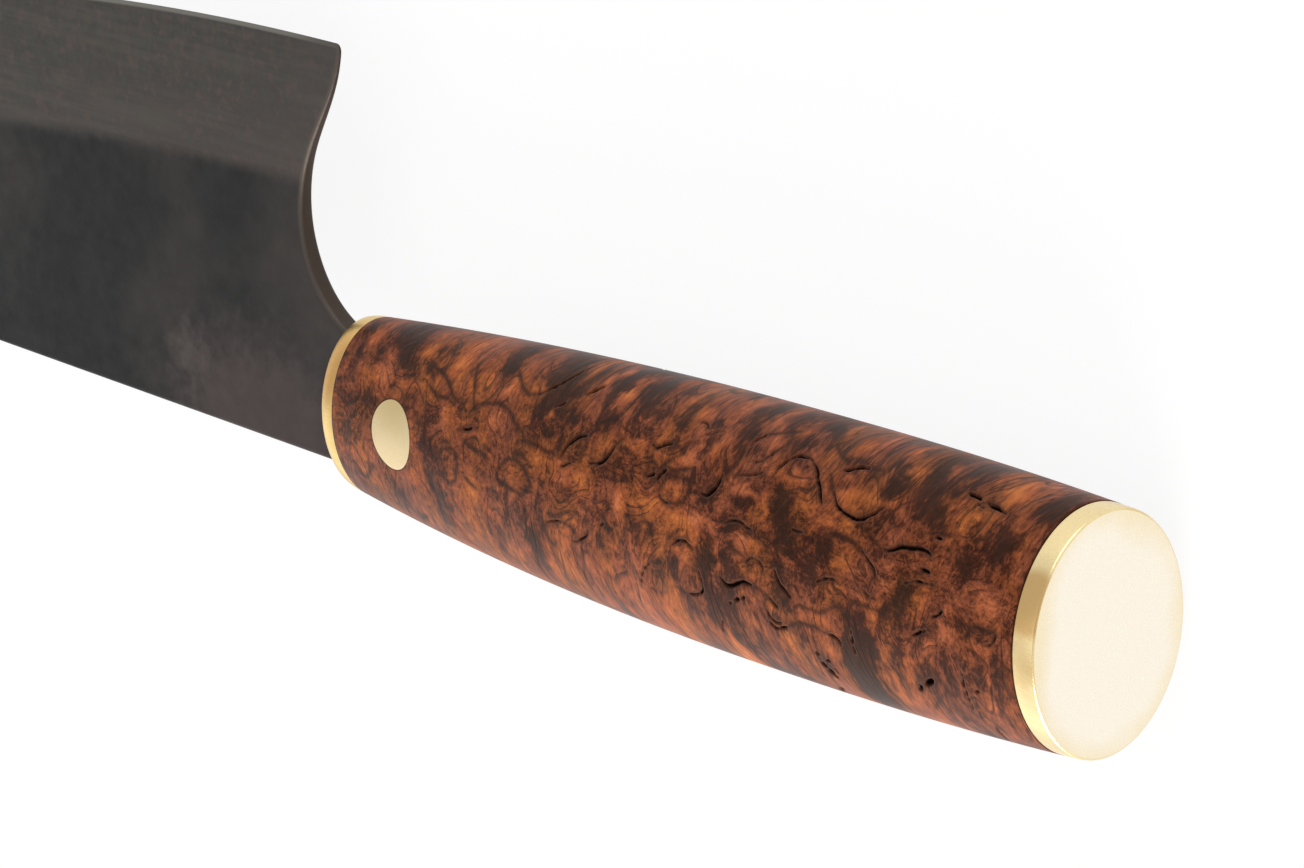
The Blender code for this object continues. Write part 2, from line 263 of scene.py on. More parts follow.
@dataclass(frozen=True)
class HandleForm:
    """The handle's ovals, from the front bolster's face to the end cap's.

    A section is (0, height, thickness). The sections run from the front's through the palm
    swell's to the butt's, each side with its own power curve, and the centre line drops
    towards the edge side at the butt.
    """

    length: float = 118.0 * MM
    swell_station: float = 73.0 * MM
    front_section: Vector = field(default_factory=lambda: Vector((0.0, 21.3, 14.6)) * MM)
    swell_section: Vector = field(default_factory=lambda: Vector((0.0, 28.3, 23.6)) * MM)
    butt_section: Vector = field(default_factory=lambda: Vector((0.0, 25.75, 21.6)) * MM)
    front_curve: float = 2.1
    butt_curve: float = 2.4
    drop: float = 1.7 * MM
    drop_curve: float = 1.6

    def half_section(self, x: float) -> Vector:
        """Halves the oval's section at x.

        Args:
            x: place along the knife.

        Returns:
            Half height and half thickness, as (0, height, thickness).
        """
        ahead = max(self.swell_station + x, 0.0) / self.swell_station
        behind = max(-x - self.swell_station, 0.0) / (self.length - self.swell_station)
        to_front = (self.swell_section - self.front_section) * ahead**self.front_curve
        to_butt = (self.swell_section - self.butt_section) * behind**self.butt_curve
        return (self.swell_section - to_front - to_butt) / 2

    def centre(self, x: float) -> float:
        """Height of the centre line at x."""
        return -self.drop * (max(-x, 0.0) / self.length) ** self.drop_curve

    def point(self, station: float, angle: float) -> Vector:
        """A point of the surface.

        Args:
            station: mm behind the bolster's front.
            angle: degrees round the handle.

        Returns:
            Its place in the knife's axes.
        """
        x = -station * MM
        half = self.half_section(x)
        turn = math.radians(angle)
        return Vector((x, self.centre(x) + half.y * math.sin(turn), half.z * math.cos(turn)))

    def height_at(self, x: float, y: float) -> float:
        """Z of the right side's surface over a point of the blade's plane."""
        half = self.half_section(x)
        return half.z * math.sqrt(max(1 - ((y - self.centre(x)) / half.y) ** 2, 0.0))


# Geometry Nodes trees


class GeometryTree:
    """A Geometry Nodes tree with named inputs."""

    def __init__(self, name: str, inputs: dict[str, Sequence[str]]) -> None:
        """Starts the tree.

        Args:
            name: the tree's name.
            inputs: names of the inputs after the geometry, by the kind of their sockets.
        """
        self.tree = bpy.data.node_groups.new(name, "GeometryNodeTree")
        self.add: Adder = partial(add_node, self.tree)
        for way in ("INPUT", "OUTPUT"):
            self.tree.interface.new_socket("Geometry", in_out=way, socket_type="NodeSocketGeometry")
        self.identifiers = {
            label: self.tree.interface.new_socket(label, socket_type=f"NodeSocket{kind}").identifier
            for kind, labels in inputs.items()
            for label in labels
        }
        self.given = {socket.name: socket for socket in self.add("NodeGroupInput").outputs}

    def end(self, geometry: bpy.types.Node) -> None:
        """Ends the tree in Realize Instances and Set Material.

        Args:
            geometry: the node whose geometry goes out.
        """
        real = self.add("GeometryNodeRealizeInstances", {"Geometry": geometry})
        inputs = {"Geometry": real, "Material": self.given["Material"]}
        self.add("NodeGroupOutput", [self.add("GeometryNodeSetMaterial", inputs)])

    def run(self, obj: bpy.types.Object, **values: Any) -> bpy.types.Mesh:
        """Runs the tree on an object, and returns the result as a plain mesh.

        Args:
            obj: the object, which is removed.
            values: value of each input, by its name with underscores for spaces.

        Returns:
            The mesh.
        """
        modifier = obj.modifiers.new(self.tree.name, "NODES")
        modifier.node_group = self.tree
        for label, value in values.items():
            modifier[self.identifiers[label.capitalize().replace("_", " ")]] = value
        return baked(obj, obj.name)


class OvalTree(GeometryTree):
    """The tree that sweeps the handle's ovals from one station to another.

    The rims can be rounded and the band between them crowned, so one tree makes the bolster,
    the wood and the cap.
    """

    SHARED = ("Length", "Swell station", "Front curve", "Butt curve", "Drop", "Drop curve")
    INPUTS = {
        "Int": ("Rows", "Points round"),
        "Float": ("Front", "Rear", "Ends crowd", "Front rounding", "Rear rounding", "Crown", *SHARED),
        "Vector": ("Front section", "Swell section", "Butt section"),
        "Material": ("Material",),
    }

    # Name, kind and chain of each value: operations with their terms, each after the first on the
    # last one's result. A term is a number, an input or an earlier value
    STEPS = (
        ("even", MATH, ("ADD", "grid x", 0.5)),
        ("eased", MATH, ("MULTIPLY", "even", math.pi), ("COSINE",), ("MULTIPLY_ADD", -0.5, 0.5)),
        ("eased", MATH, ("SUBTRACT", "eased", "even")),
        ("share", MATH, ("MULTIPLY_ADD", "eased", "Ends crowd", "even")),
        ("span", MATH, ("SUBTRACT", "Rear", "Front")),
        ("x", MATH, ("MULTIPLY_ADD", "share", "span", "Front")),
        ("behind", MATH, ("MULTIPLY", "x", -1.0)),
        ("ahead", MATH, ("SUBTRACT", "Swell station", "behind"), ("MAXIMUM", 0.0)),
        ("ahead", MATH, ("DIVIDE", "ahead", "Swell station"), ("POWER", "Front curve")),
        ("butt part", MATH, ("SUBTRACT", "Length", "Swell station")),
        ("past", MATH, ("SUBTRACT", "behind", "Swell station"), ("MAXIMUM", 0.0)),
        ("past", MATH, ("DIVIDE", "past", "butt part"), ("POWER", "Butt curve")),
        ("to front", VECTOR, ("SUBTRACT", "Front section", "Swell section")),
        ("to butt", VECTOR, ("SUBTRACT", "Butt section", "Swell section")),
        ("section", VECTOR, ("MULTIPLY_ADD", "to front", "ahead", "Swell section")),
        ("section", VECTOR, ("MULTIPLY_ADD", "to butt", "past", "section"), ("MULTIPLY", (0.5, 0.5, 0.5))),
        ("fall", MATH, ("MAXIMUM", "behind", 0.0), ("DIVIDE", "Length"), ("POWER", "Drop curve")),
        ("fall", MATH, ("MULTIPLY", "fall", "Drop"), ("MULTIPLY", -1.0)),
        ("bow", MATH, ("MULTIPLY_ADD", "share", 2.0, -1.0)),
        ("inset", MATH, ("MULTIPLY", "bow", "bow"), ("MULTIPLY", "Crown")),
        ("depth", MATH, ("ABSOLUTE", "span")),
        ("to rear", MATH, ("SUBTRACT", 1.0, "share")),
        *(
            step
            for rounding, along in (("Front rounding", "share"), ("Rear rounding", "to rear"))
            for step in (
                ("from face", MATH, ("MULTIPLY", along, "depth")),
                ("into rim", MATH, ("SUBTRACT", rounding, "from face"), ("MAXIMUM", 0.0), ("POWER", 2.0)),
                ("rim", MATH, ("POWER", rounding, 2.0), ("SUBTRACT", "into rim")),
                ("rim", MATH, ("MAXIMUM", "rim", 0.0), ("SQRT",)),
                ("rim", MATH, ("SUBTRACT", rounding, "rim")),
                ("inset", MATH, ("ADD", "inset", "rim")),
            )
        ),
        ("inset", VECTOR, ("MULTIPLY", "inset", (0.0, 1.0, 1.0))),
        ("section", VECTOR, ("SUBTRACT", "section", "inset")),
        ("angle", MATH, ("MULTIPLY", "grid y", 2 * math.pi)),
        ("sine", MATH, ("SINE", "angle")),
        ("cosine", MATH, ("COSINE", "angle")),
        ("round", COMBINE, (None, 0.0, "sine", "cosine")),
        ("round", VECTOR, ("MULTIPLY", "round", "section")),
        ("centre", COMBINE, (None, "x", "fall", 0.0)),
        ("position", VECTOR, ("ADD", "round", "centre")),
    )

    def __init__(self, form: HandleForm) -> None:
        """Builds the tree.

        Args:
            form: the handle form that it sweeps.
        """
        super().__init__("oval form", self.INPUTS)
        self.form = form
        known = dict(self.given)
        inputs = {"Size X": 1.0, "Size Y": 1.0, "Vertices X": known["Rows"]}
        grid = self.add("GeometryNodeMeshGrid", inputs | {"Vertices Y": known["Points round"]})
        place = self.add(SEPARATE, [self.add("GeometryNodeInputPosition")])
        known.update({"grid x": place.outputs["X"], "grid y": place.outputs["Y"]})
        for name, kind, *chain in self.STEPS:
            last: list = []
            for operation, *terms in chain:
                settings = {"operation": operation} if operation else {}
                last = [self.add(kind, last + [known.get(term, term) for term in terms], **settings)]
            known[name] = last[0]
        inputs = {"Geometry": grid.outputs["Mesh"], "Position": known["position"]}
        swept = self.add("GeometryNodeSetPosition", inputs)
        self.end(self.add("GeometryNodeMergeByDistance", {"Geometry": swept, "Distance": 0.001 * MM}))

    def sweep(self, name: str, material: bpy.types.Material, **values: Any) -> bpy.types.Mesh:
        """Sweeps one piece.

        Args:
            name: the piece's name.
            material: its finish.
            values: the tree's own inputs; those that aren't given are the form's, or nought.

        Returns:
            A closed mesh with flat ends, in the knife's axes.
        """
        inputs = dict.fromkeys(("ends_crowd", "front_rounding", "rear_rounding", "crown"), 0.0)
        inputs |= {part.name: getattr(self.form, part.name) for part in fields(self.form)}
        obj = new_object(name, bpy.data.meshes.new(name))
        mesh = self.run(obj, material=material, **(inputs | values))
        self.close_ends(mesh)
        return mesh

    @staticmethod
    def close_ends(mesh: bpy.types.Mesh, border: float = 0.04 * MM) -> None:
        """Closes the two open ends with flat faces.

        Args:
            mesh: the swept tube.
            border: width of the ring that keeps the rim's rounding off the flat face.
        """
        shape = bmesh.new()
        shape.from_mesh(mesh)
        rims = [edge for edge in shape.edges if edge.is_boundary]
        ends = bmesh.ops.holes_fill(shape, edges=rims)["faces"]
        bmesh.ops.inset_individual(shape, faces=ends, thickness=border)
        bmesh.ops.recalc_face_normals(shape, faces=shape.faces)
        filled(mesh, shape, smooth=True)


class FissureTree(GeometryTree):
    """The tree that cuts lines that follow the surface into it.

    It stores how far each point lies from the nearest line's rim, in mm and negative inside
    the line, and sinks the surface there. A line's edges carry a half_width for each point.
    """

    INPUTS = {
        "Object": ("Lines",),
        "String": ("Attribute",),
        "Float": ("Depth per width", "Soft rim"),
        "Material": ("Material",),
    }

    def __init__(self) -> None:
        """Builds the tree."""
        super().__init__("fissures", self.INPUTS)
        add, given = self.add, self.given
        lines = add("GeometryNodeObjectInfo", {"Object": given["Lines"]}, transform_space="RELATIVE")
        lines = lines.outputs["Geometry"]
        near = add("GeometryNodeProximity", [lines], target_element="EDGES")
        nearest = add("GeometryNodeSampleNearest", {"Geometry": lines}, domain="POINT")
        width = add("GeometryNodeInputNamedAttribute", {"Name": "half_width"}, data_type="FLOAT")
        inputs = {"Geometry": lines, "Value": width, "Index": nearest}
        half = add("GeometryNodeSampleIndex", inputs, data_type="FLOAT", domain="POINT")
        gap = add(MATH, (near.outputs["Distance"], half), operation="SUBTRACT")
        gap_mm = add(MATH, (gap, 1 / MM), operation="MULTIPLY")
        inputs = {"Geometry": given["Geometry"], "Name": given["Attribute"], "Value": gap_mm}
        kept = add("GeometryNodeStoreNamedAttribute", inputs, data_type="FLOAT", domain="POINT")
        bottom = add(MATH, (half, -1.0), operation="MULTIPLY")
        into = add(RANGE, (gap, given["Soft rim"], bottom), interpolation_type="SMOOTHSTEP")
        depth = add(MATH, (half, given["Depth per width"]), operation="MULTIPLY")
        depth = add(MATH, (depth, 0.0), operation="MAXIMUM")
        sink = add(MATH, (into, depth), operation="MULTIPLY")
        sink = add(MATH, (sink, -1.0), operation="MULTIPLY")
        inputs = {0: add("GeometryNodeInputNormal"), "Scale": sink}
        offset = add(VECTOR, inputs, operation="SCALE")
        self.end(add("GeometryNodeSetPosition", {"Geometry": kept, "Offset": offset}))


# Finishes


@dataclass(frozen=True)
class Finish:
    """What every finish shares: a tree that knows the place in the knife's axes, and stains."""

    name: str = "finish"

    def start(self, origin: Vector) -> tuple[bpy.types.Material, Adder, bpy.types.Node]:
        """Starts the material.

        Args:
            origin: the knife's origin in the frame.

        Returns:
            The material, what adds a node to it and a node that gives the place in the knife's
            axes, in mm.
        """
        material = bpy.data.materials.new(self.name)
        material.use_nodes = True
        material.node_tree.nodes.clear()
        add = partial(add_node, material.node_tree)
        inputs = {"Vector": add("ShaderNodeTexCoord").outputs["Object"], "Location": -origin / MM}
        return material, add, add(MAPPING, inputs | {"Scale": (1 / MM, 1 / MM, 1 / MM)})

    @staticmethod
    def stained(add: Adder, base: Any, *stains: tuple) -> Any:
        """Lays colours over another, each where its value nears a number.

        Args:
            add: adds a node to the material.
            base: the colour below.
            stains: for each colour, the value that places it, the value where it is full, the
                value where it ends, how much it covers from 0 to 1, its hex colour and, where it
                isn't simply laid over, Blender's blend type.

        Returns:
            The stained colour.
        """
        for value, full, none, strength, colour, *blend in stains:
            amount = add(RANGE, (value, full, none, strength, 0.0), interpolation_type="SMOOTHSTEP")
            inputs = {"Factor": amount, "A": base, "B": srgb(colour)}
            base = add(MIX, inputs, data_type="RGBA", blend_type=blend[0] if blend else "MIX")
        return base


@dataclass(frozen=True)
class StabilisedBurl(Finish):
    """Dyed and stabilised birch burl, sanded fine and oiled.

    The eye gets dark mineral clouds against orange wood, small eyes with a thin dark rim,
    black fissures with painted shade round them and a painted highlight on their lips, and a
    satin sheen with no sharp highlight. One broad bright cloud is painted sheen. The figure
    stands in columns through the handle's thickness, so it is drawn long on the edge and spine
    sides. Sizes are in mm.
    """

    name: str = "stabilised_birch_burl"
    ends: tuple[float, float] = (-115.36, -2.73)
    pin: tuple[float, float, float] = (-15.6, -1.6, 4.0)
    cloud_size: float = 7.0
    cloud_tone: float = 0.27
    middle_tone: float = 0.49
    mottle_size: float = 2.5
    fleck_size: float = 0.8
    speck_size: float = 0.44
    ring_size: float = 5.2
    ring_count: float = 11.0
    ring_patch: float = 3.4
    hue_size: float = 4.5
    # Distance in mm from a crack's rim of the painted highlight line on its lip
    lip: float = 0.17
    silk_count: float = 22.0
    silk_length: float = 3.5
    fibre_width: float = 0.2
    fibre_length: float = 3.6
    fibre_depth: float = 0.03
    ring_depth: float = 0.06
    swirl: tuple[float, float, float] = (4.0, 4.0, 2.0)
    eyes_face: float = -25.0
    band: float = 9.0
    column_squash: float = 0.13

    def make(self, origin: Vector) -> bpy.types.Material:
        """Makes the material, which reads cloud, crack_gap and line_gap from the mesh.

        Args:
            origin: the knife's origin in the frame.

        Returns:
            The material.
        """
        material, add, place = self.start(origin)
        column, swirled = self.column_space(add, place)
        cloud, line_gap, crack_gap = (
            add(ATTRIBUTE, attribute_name=name).outputs["Fac"] for name in ("cloud", "line_gap", "crack_gap")
        )
        hills = add(NOISE, {"Vector": swirled, "Scale": 1 / self.ring_size, "Detail": 0.6})
        mottle, flecks, fibres, layers = self.figure(add, column, swirled, hills)
        tone = add(MATH, (cloud, self.cloud_tone, self.middle_tone), operation="MULTIPLY_ADD")
        for layer, strength in layers:
            layer = add(MATH, (layer, 0.5), operation="SUBTRACT")
            tone = add(MATH, (layer, strength, tone), operation="MULTIPLY_ADD")
        darker = ((0.12, "#220c05"), (0.34, "#431d0f"), (0.42, "#5f2f1a"), (0.56, "#753c22"))
        brighter = ((0.63, "#874627"), (0.78, "#9c522a"), (0.94, "#b66836"))
        rings = self.growth_rings(add, column, hills)
        hue = add(NOISE, {"Vector": swirled, "Scale": 1 / self.hue_size, "Detail": 2.0})
        # Painted highlight: a thin lighter line on each crack's lip
        lip = add(MATH, (crack_gap, self.lip), operation="SUBTRACT")
        lip = add(MATH, [lip], operation="ABSOLUTE")
        wood = self.stained(
            add,
            add(RAMP, [tone], darker + brighter),
            (cloud, -1.2, -0.2, 0.3, "#372219"),
            (hue, 0.62, 0.48, 0.35, "#8f5222", "COLOR"),
            (hue, 0.38, 0.52, 0.3, "#7d4736", "COLOR"),
            (flecks, 0.68, 0.6, 0.6, "#2a150e"),
            (rings, 1.0, 0.0, 0.7, "#28140d"),
            (line_gap, 0.1, 0.7, 0.3, "#2e1810"),
            (line_gap, -0.08, 0.3, 0.78, "#24110b"),
            # Painted shade round each crack, then the painted highlight on its lip
            (crack_gap, 0.0, 0.5, 0.65, "#2e1610"),
            (lip, 0.0, 0.1, 0.14, "#9c6243"),
            (self.joint_gap(add, place), 0.04, 0.26, 0.65, "#1c0f09"),
            (crack_gap, -0.09, 0.02, 1.0, "#080504"),
        )
        # Dry and dull inside the cracks
        dry = add(RANGE, (crack_gap, -0.06, 0.04, 1.0, 0.0))
        roughness = add(MATH, (add(RANGE, (mottle, 0.3, 0.7, 0.38, 0.5)), dry), operation="MAXIMUM")
        grain = add(BUMP, {"Height": fibres, "Strength": 0.3, "Distance": self.fibre_depth * MM})
        inputs = {"Height": rings, "Strength": 0.5, "Distance": self.ring_depth * MM, "Normal": grain}
        inputs = {"Base Color": wood, "Roughness": roughness, "Normal": add(BUMP, inputs, invert=True)}
        # Low, warm specular level: the dyed and oiled surface mirrors little, and the dark wood stays deep
        inputs.update({"Specular IOR Level": 0.15, "Specular Tint": srgb("#f2c7a4")})
        add(OUTPUT, {"Surface": add(SURFACE, inputs)})
        return material

    def column_space(self, add: Adder, place: bpy.types.Node) -> tuple[bpy.types.Node, bpy.types.Node]:
        """Draws space out along the burl's columns, most of all away from the band of eyes.

        Args:
            add: adds a node to the material.
            place: the place in the knife's axes, in mm.

        Returns:
            The place along the handle, across the columns and along them, and the same swirled.
        """
        inputs = {"Vector": place, "Rotation": (math.radians(-self.eyes_face), 0.0, 0.0)}
        inputs["Scale"] = (1.0, self.band, 1 / self.column_squash)
        axes = add(SEPARATE, [add(MAPPING, inputs, vector_type="TEXTURE")]).outputs
        across = add(MATH, [axes["Y"]], operation="TANH")
        across = add(MATH, (across, self.band), operation="MULTIPLY")
        column = add(COMBINE, (axes["X"], across, axes["Z"]))
        swirl = add(NOISE, {"Vector": column, "Scale": 1 / self.cloud_size, "Detail": 2.0})
        swirl = add(VECTOR, (swirl.outputs["Color"], (0.5, 0.5, 0.5)), operation="SUBTRACT")
        return column, add(VECTOR, (swirl, self.swirl, column), operation="MULTIPLY_ADD")

    def figure(
        self, add: Adder, column: bpy.types.Node, swirled: bpy.types.Node, hills: bpy.types.Node
    ) -> tuple[bpy.types.Node, bpy.types.Node, bpy.types.Node, list[tuple[bpy.types.Node, float]]]:
        """Adds the noises of the figure: drifts, mottle, flecks, silk round the eyes and fibres.

        Args:
            add: adds a node to the material.
            column: the place in column space.
            swirled: the same place swirled.
            hills: the smooth noise whose level lines go round the eyes.

        Returns:
            The mottle, the flecks and the fibres, and all noises with their strengths in the tone.
        """
        fibre_scale = (1 / self.fibre_length, 1 / self.fibre_width, 1 / self.fibre_width)
        long_way = add(MAPPING, {"Vector": swirled, "Scale": fibre_scale})
        level = add(MATH, (hills, self.silk_count), operation="MULTIPLY")
        slow = add(VECTOR, {0: column, "Scale": 1 / self.silk_length}, operation="SCALE")
        round_eyes = add(VECTOR, (slow, level), operation="ADD")
        layers = []
        # Space, size, detail, distortion and strength of each noise
        for vector, size, detail, distortion, strength in (
            (swirled, self.cloud_size, 2.0, 0.0, 0.3),
            (swirled, self.mottle_size, 3.0, 1.2, 0.8),
            (column, self.fleck_size, 4.0, 1.6, 0.8),
            (round_eyes, 1.0, 3.0, 0.5, 0.5),
            (swirled, self.speck_size, 2.0, 0.6, 0.55),
            (long_way, 2.0, 2.0, 0.0, 0.3),
        ):
            inputs = {"Vector": vector, "Scale": 1 / size, "Detail": detail, "Roughness": 0.62}
            layers.append((add(NOISE, inputs | {"Distortion": distortion}), strength))
        return layers[1][0], layers[2][0], layers[5][0], layers

    def growth_rings(self, add: Adder, column: bpy.types.Node, hills: bpy.types.Node) -> bpy.types.Node:
        """Adds the dark rings round the burl's eyes: level lines of a smooth noise, sharp on one side.

        Args:
            add: adds a node to the material.
            column: the place in column space.
            hills: the smooth noise.

        Returns:
            How dark the rings are, from 0 to 1.
        """
        level = add(MATH, (hills, self.ring_count), operation="MULTIPLY")
        level = add(MATH, [level], operation="FRACT")
        patches = add(NOISE, {"Vector": column, "Scale": 1 / self.ring_patch, "Detail": 2.0})
        thin, patchy = (
            add(RANGE, ends, interpolation_type="SMOOTHSTEP")
            for ends in ((level, 0.7, 1.0), (patches, 0.4, 0.58))
        )
        return add(MATH, (thin, patchy), operation="MULTIPLY")

    def joint_gap(self, add: Adder, place: bpy.types.Node) -> bpy.types.Node:
        """Distance in mm from the nearest joint, at the two plates and round the pin.

        Args:
            add: adds a node to the material.
            place: the place in the knife's axes, in mm.

        Returns:
            The distance.
        """
        rear, front = self.ends
        x, y, radius = self.pin
        axes = add(SEPARATE, [place]).outputs
        from_middle = add(MATH, (axes["X"], (rear + front) / 2), operation="SUBTRACT")
        from_middle = add(MATH, [from_middle], operation="ABSOLUTE")
        from_end = add(MATH, ((front - rear) / 2, from_middle), operation="SUBTRACT")
        flat_place = add(COMBINE, (axes["X"], axes["Y"]))
        from_axis = add(VECTOR, (flat_place, (x, y, 0.0)), operation="DISTANCE")
        from_pin = add(MATH, (from_axis, radius), operation="SUBTRACT")
        return add(MATH, (from_end, from_pin), operation="MINIMUM")


@dataclass(frozen=True)
class SatinBrass(Finish):
    """Brass dressed on a fine belt and left satin.

    The eye gets a pale gold with fine parallel scratches that break up the highlight, a
    browner patch on one side that is painted shade (on the cap's rim, a painted dark reflection)
    and, on a lapped face, a near-white cream that is a painted bright reflection and warms
    towards the rim. Sizes are in mm.
    """

    name: str = "satin_brass"
    colour: str = "#e6b968"
    dull: str = "#bd8f49"
    # Painted shade: a duller patch round this place in mm, with its full and outer reach and its strength;
    # on the cap it is a painted dark reflection
    worn: tuple[float, float, float] = (-2.0, -12.0, 0.0)
    worn_reach: tuple[float, float] = (5.0, 13.0)
    worn_strength: float = 0.8
    # Colour of the flat rear face: a near-white cream that is a painted bright reflection
    face: str | None = None
    face_rim: str = "#f4e2b8"
    face_middle: tuple[float, float] = (-1.7, 12.2)
    face_rim_width: tuple[float, float] = (5.0, 0.5)
    face_squash: float = 1.19
    face_unevenness: float = 7.0
    scratch_width: float = 0.12
    scratch_length: float = 6.0
    scratch_turn: float = 0.0
    scratch_depth: float = 0.006
    roughness: float = 0.3
    tarnish_size: float = 7.0

    def make(self, origin: Vector) -> bpy.types.Material:
        """Makes the material.

        Args:
            origin: the knife's origin in the frame.

        Returns:
            The material.
        """
        material, add, place = self.start(origin)
        turn = math.radians(self.scratch_turn)
        turned = add(MAPPING, {"Vector": place, "Rotation": (turn, 0.0, turn)})
        scratch_scale = (1 / self.scratch_length, 1 / self.scratch_width, 1 / self.scratch_width)
        along = add(MAPPING, {"Vector": turned, "Scale": scratch_scale})
        scratches = add(NOISE, {"Vector": along, "Scale": 1.0, "Detail": 3.0, "Roughness": 0.6})
        tarnish = add(NOISE, {"Vector": place, "Scale": 1 / self.tarnish_size, "Detail": 4.0})
        away = add(VECTOR, (place, self.worn), operation="DISTANCE")
        gold = self.stained(
            add,
            srgb(self.colour),
            (tarnish, 0.75, 0.5, 0.5, self.dull),
            # Painted shade, duller near the given place
            (away, *self.worn_reach, self.worn_strength, self.dull),
            (scratches, 0.75, 0.35, 0.35, self.dull),
        )
        # Painted bright reflection on the flat rear face
        if self.face:
            gold = self.lapped(add, gold, place, tarnish)
        roughness = add(RANGE, (scratches, 0.3, 0.7, self.roughness - 0.06, self.roughness + 0.08))
        bump = add(BUMP, {"Height": scratches, "Strength": 0.3, "Distance": self.scratch_depth * MM})
        inputs = {"Base Color": gold, "Metallic": 1.0, "Roughness": roughness, "Normal": bump}
        add(OUTPUT, {"Surface": add(SURFACE, inputs)})
        return material

    def lapped(
        self, add: Adder, gold: bpy.types.Node, place: bpy.types.Node, tarnish: bpy.types.Node
    ) -> bpy.types.Node:
        """Paints the flat rear face, which is lapped, near-white cream as a painted bright reflection,
        warmer again towards its rim.

        Args:
            add: adds a node to the material.
            gold: the colour of the rest.
            place: the place in the knife's axes, in mm.
            tarnish: the noise that makes the warm rim uneven.

        Returns:
            The colour.
        """
        centre, half_height = self.face_middle
        full, none = (half_height + width for width in self.face_rim_width)
        axes = add(SEPARATE, [place]).outputs
        up = add(MATH, (axes["Y"], centre), operation="SUBTRACT")
        side = add(MATH, (axes["Z"], self.face_squash), operation="MULTIPLY")
        out = add(VECTOR, [add(COMBINE, (up, side))], operation="LENGTH").outputs["Value"]
        uneven = add(MATH, (tarnish, self.face_unevenness, out), operation="MULTIPLY_ADD")
        cream = self.stained(add, srgb(self.face), (uneven, full, none, 0.75, self.face_rim))
        normal = add("ShaderNodeNewGeometry").outputs["Normal"]
        on_face = add(RANGE, (add(SEPARATE, [normal]).outputs["X"], -0.97, -0.995))
        return add(MIX, {"Factor": on_face, "A": gold, "B": cream}, data_type="RGBA")


@dataclass(frozen=True)
class ForgedSteel(Finish):
    """Carbon steel with its forge scale rubbed down to a near-black satin.

    The eye gets an even dark grey with warm brown patches on the flats, a lighter grey on the
    ground bevel with a fine reddish and greenish mottle, a bright line at the cutting edge and,
    on the choil's face, a painted dark shade line with a painted highlight line beside it. Sizes
    are in mm.
    """

    name: str = "forge_finished_steel"
    patch_size: float = 26.0
    mottle_size: float = 2.2
    tint_size: float = 1.5
    scale_size: float = 0.35
    streak_width: float = 1.1
    streak_length: float = 22.0
    warm_place: tuple[float, float, float] = (12.0, 6.0, 0.0)
    warm_squash: float = 0.6
    warm_waver: tuple[float, float] = (8.0, 14.0)
    smudge_place: tuple[float, float, float] = (35.0, 0.5, 0.0)
    smudge_waver: float = 6.0
    shoulder_waver: float = 0.9
    scale_depth: float = 0.01

    def make(self, origin: Vector) -> bpy.types.Material:
        """Makes the material, which reads above_edge, from_shoulder and from_choil from the mesh.

        Args:
            origin: the knife's origin in the frame.

        Returns:
            The material.
        """
        material, add, place = self.start(origin)
        edge, shoulder, choil = (
            add(ATTRIBUTE, attribute_name=name).outputs["Fac"]
            for name in ("above_edge", "from_shoulder", "from_choil")
        )
        streak_scale = (1 / self.streak_length, 1 / self.streak_width, 1 / self.streak_width)
        lengthwise = add(MAPPING, {"Vector": place, "Scale": streak_scale})
        patches, mottle, tints, scale, streaks = (
            add(NOISE, {"Vector": vector, "Scale": 1 / size, "Detail": detail, "Roughness": 0.6})
            for vector, size, detail in (
                (place, self.patch_size, 3.0),
                (place, self.mottle_size, 5.0),
                (place, self.tint_size, 3.0),
                (place, self.scale_size, 4.0),
                (lengthwise, 1.0, 3.0),
            )
        )
        squashed = add(VECTOR, (place, (self.warm_squash, 1.0, 1.0)), operation="MULTIPLY")
        away = add(VECTOR, (squashed, self.warm_place), operation="DISTANCE")
        for layer, waver in zip((mottle, patches), self.warm_waver):
            away = add(MATH, (layer, waver, away), operation="MULTIPLY_ADD")
        smudge = add(VECTOR, (place, self.smudge_place), operation="DISTANCE")
        smudge = add(MATH, (mottle, self.smudge_waver, smudge), operation="MULTIPLY_ADD")
        flat = self.stained(
            add,
            add(RAMP, [patches], ((0.35, "#1a1a1b"), (0.52, "#1f1f1f"), (0.66, "#302c2a"))),
            (away, 15.0, 28.0, 0.9, "#463c3a"),
            (smudge, 3.0, 9.0, 0.5, "#5a504d"),
        )
        ground = self.stained(
            add,
            add(RAMP, [mottle], ((0.3, "#3a3835"), (0.5, "#43403c"), (0.62, "#4a4540"), (0.72, "#524a44"))),
            (away, 28.0, 60.0, 0.8, "#514644"),
            (streaks, 0.66, 0.46, 0.2, "#5b554f"),
            (streaks, 0.34, 0.54, 0.25, "#393734"),
            (tints, 0.7, 0.5, 0.4, "#5e4c45"),
            (tints, 0.3, 0.5, 0.35, "#4a4d43"),
        )
        wander = add(MATH, (mottle, self.shoulder_waver, shoulder), operation="MULTIPLY_ADD")
        on_flat = add(RANGE, (wander, -1.1, 1.4), interpolation_type="SMOOTHSTEP")
        steel = self.stained(
            add,
            add(MIX, {"Factor": on_flat, "A": ground, "B": flat}, data_type="RGBA"),
            (edge, 0.35, 0.7, 0.9, "#7b7871"),
            (choil, 1.0, 9.0, 0.75, "#57524d", "DARKEN"),
            (choil, 2.0, 14.0, 0.3, "#4d4542"),
            # On the choil's face: a painted highlight line, then a painted dark shade line
            (choil, 0.3, 0.8, 0.6, "#5a524c"),
            (choil, 0.02, 0.2, 1.0, "#453b34"),
        )
        roughness = add(RANGE, (mottle, 0.3, 0.7, 0.46, 0.58))
        bump = add(BUMP, {"Height": scale, "Strength": 0.3, "Distance": self.scale_depth * MM})
        inputs = {"Base Color": steel, "Metallic": 0.85, "Roughness": roughness, "Normal": bump}
        add(OUTPUT, {"Surface": add(SURFACE, inputs)})
        return material


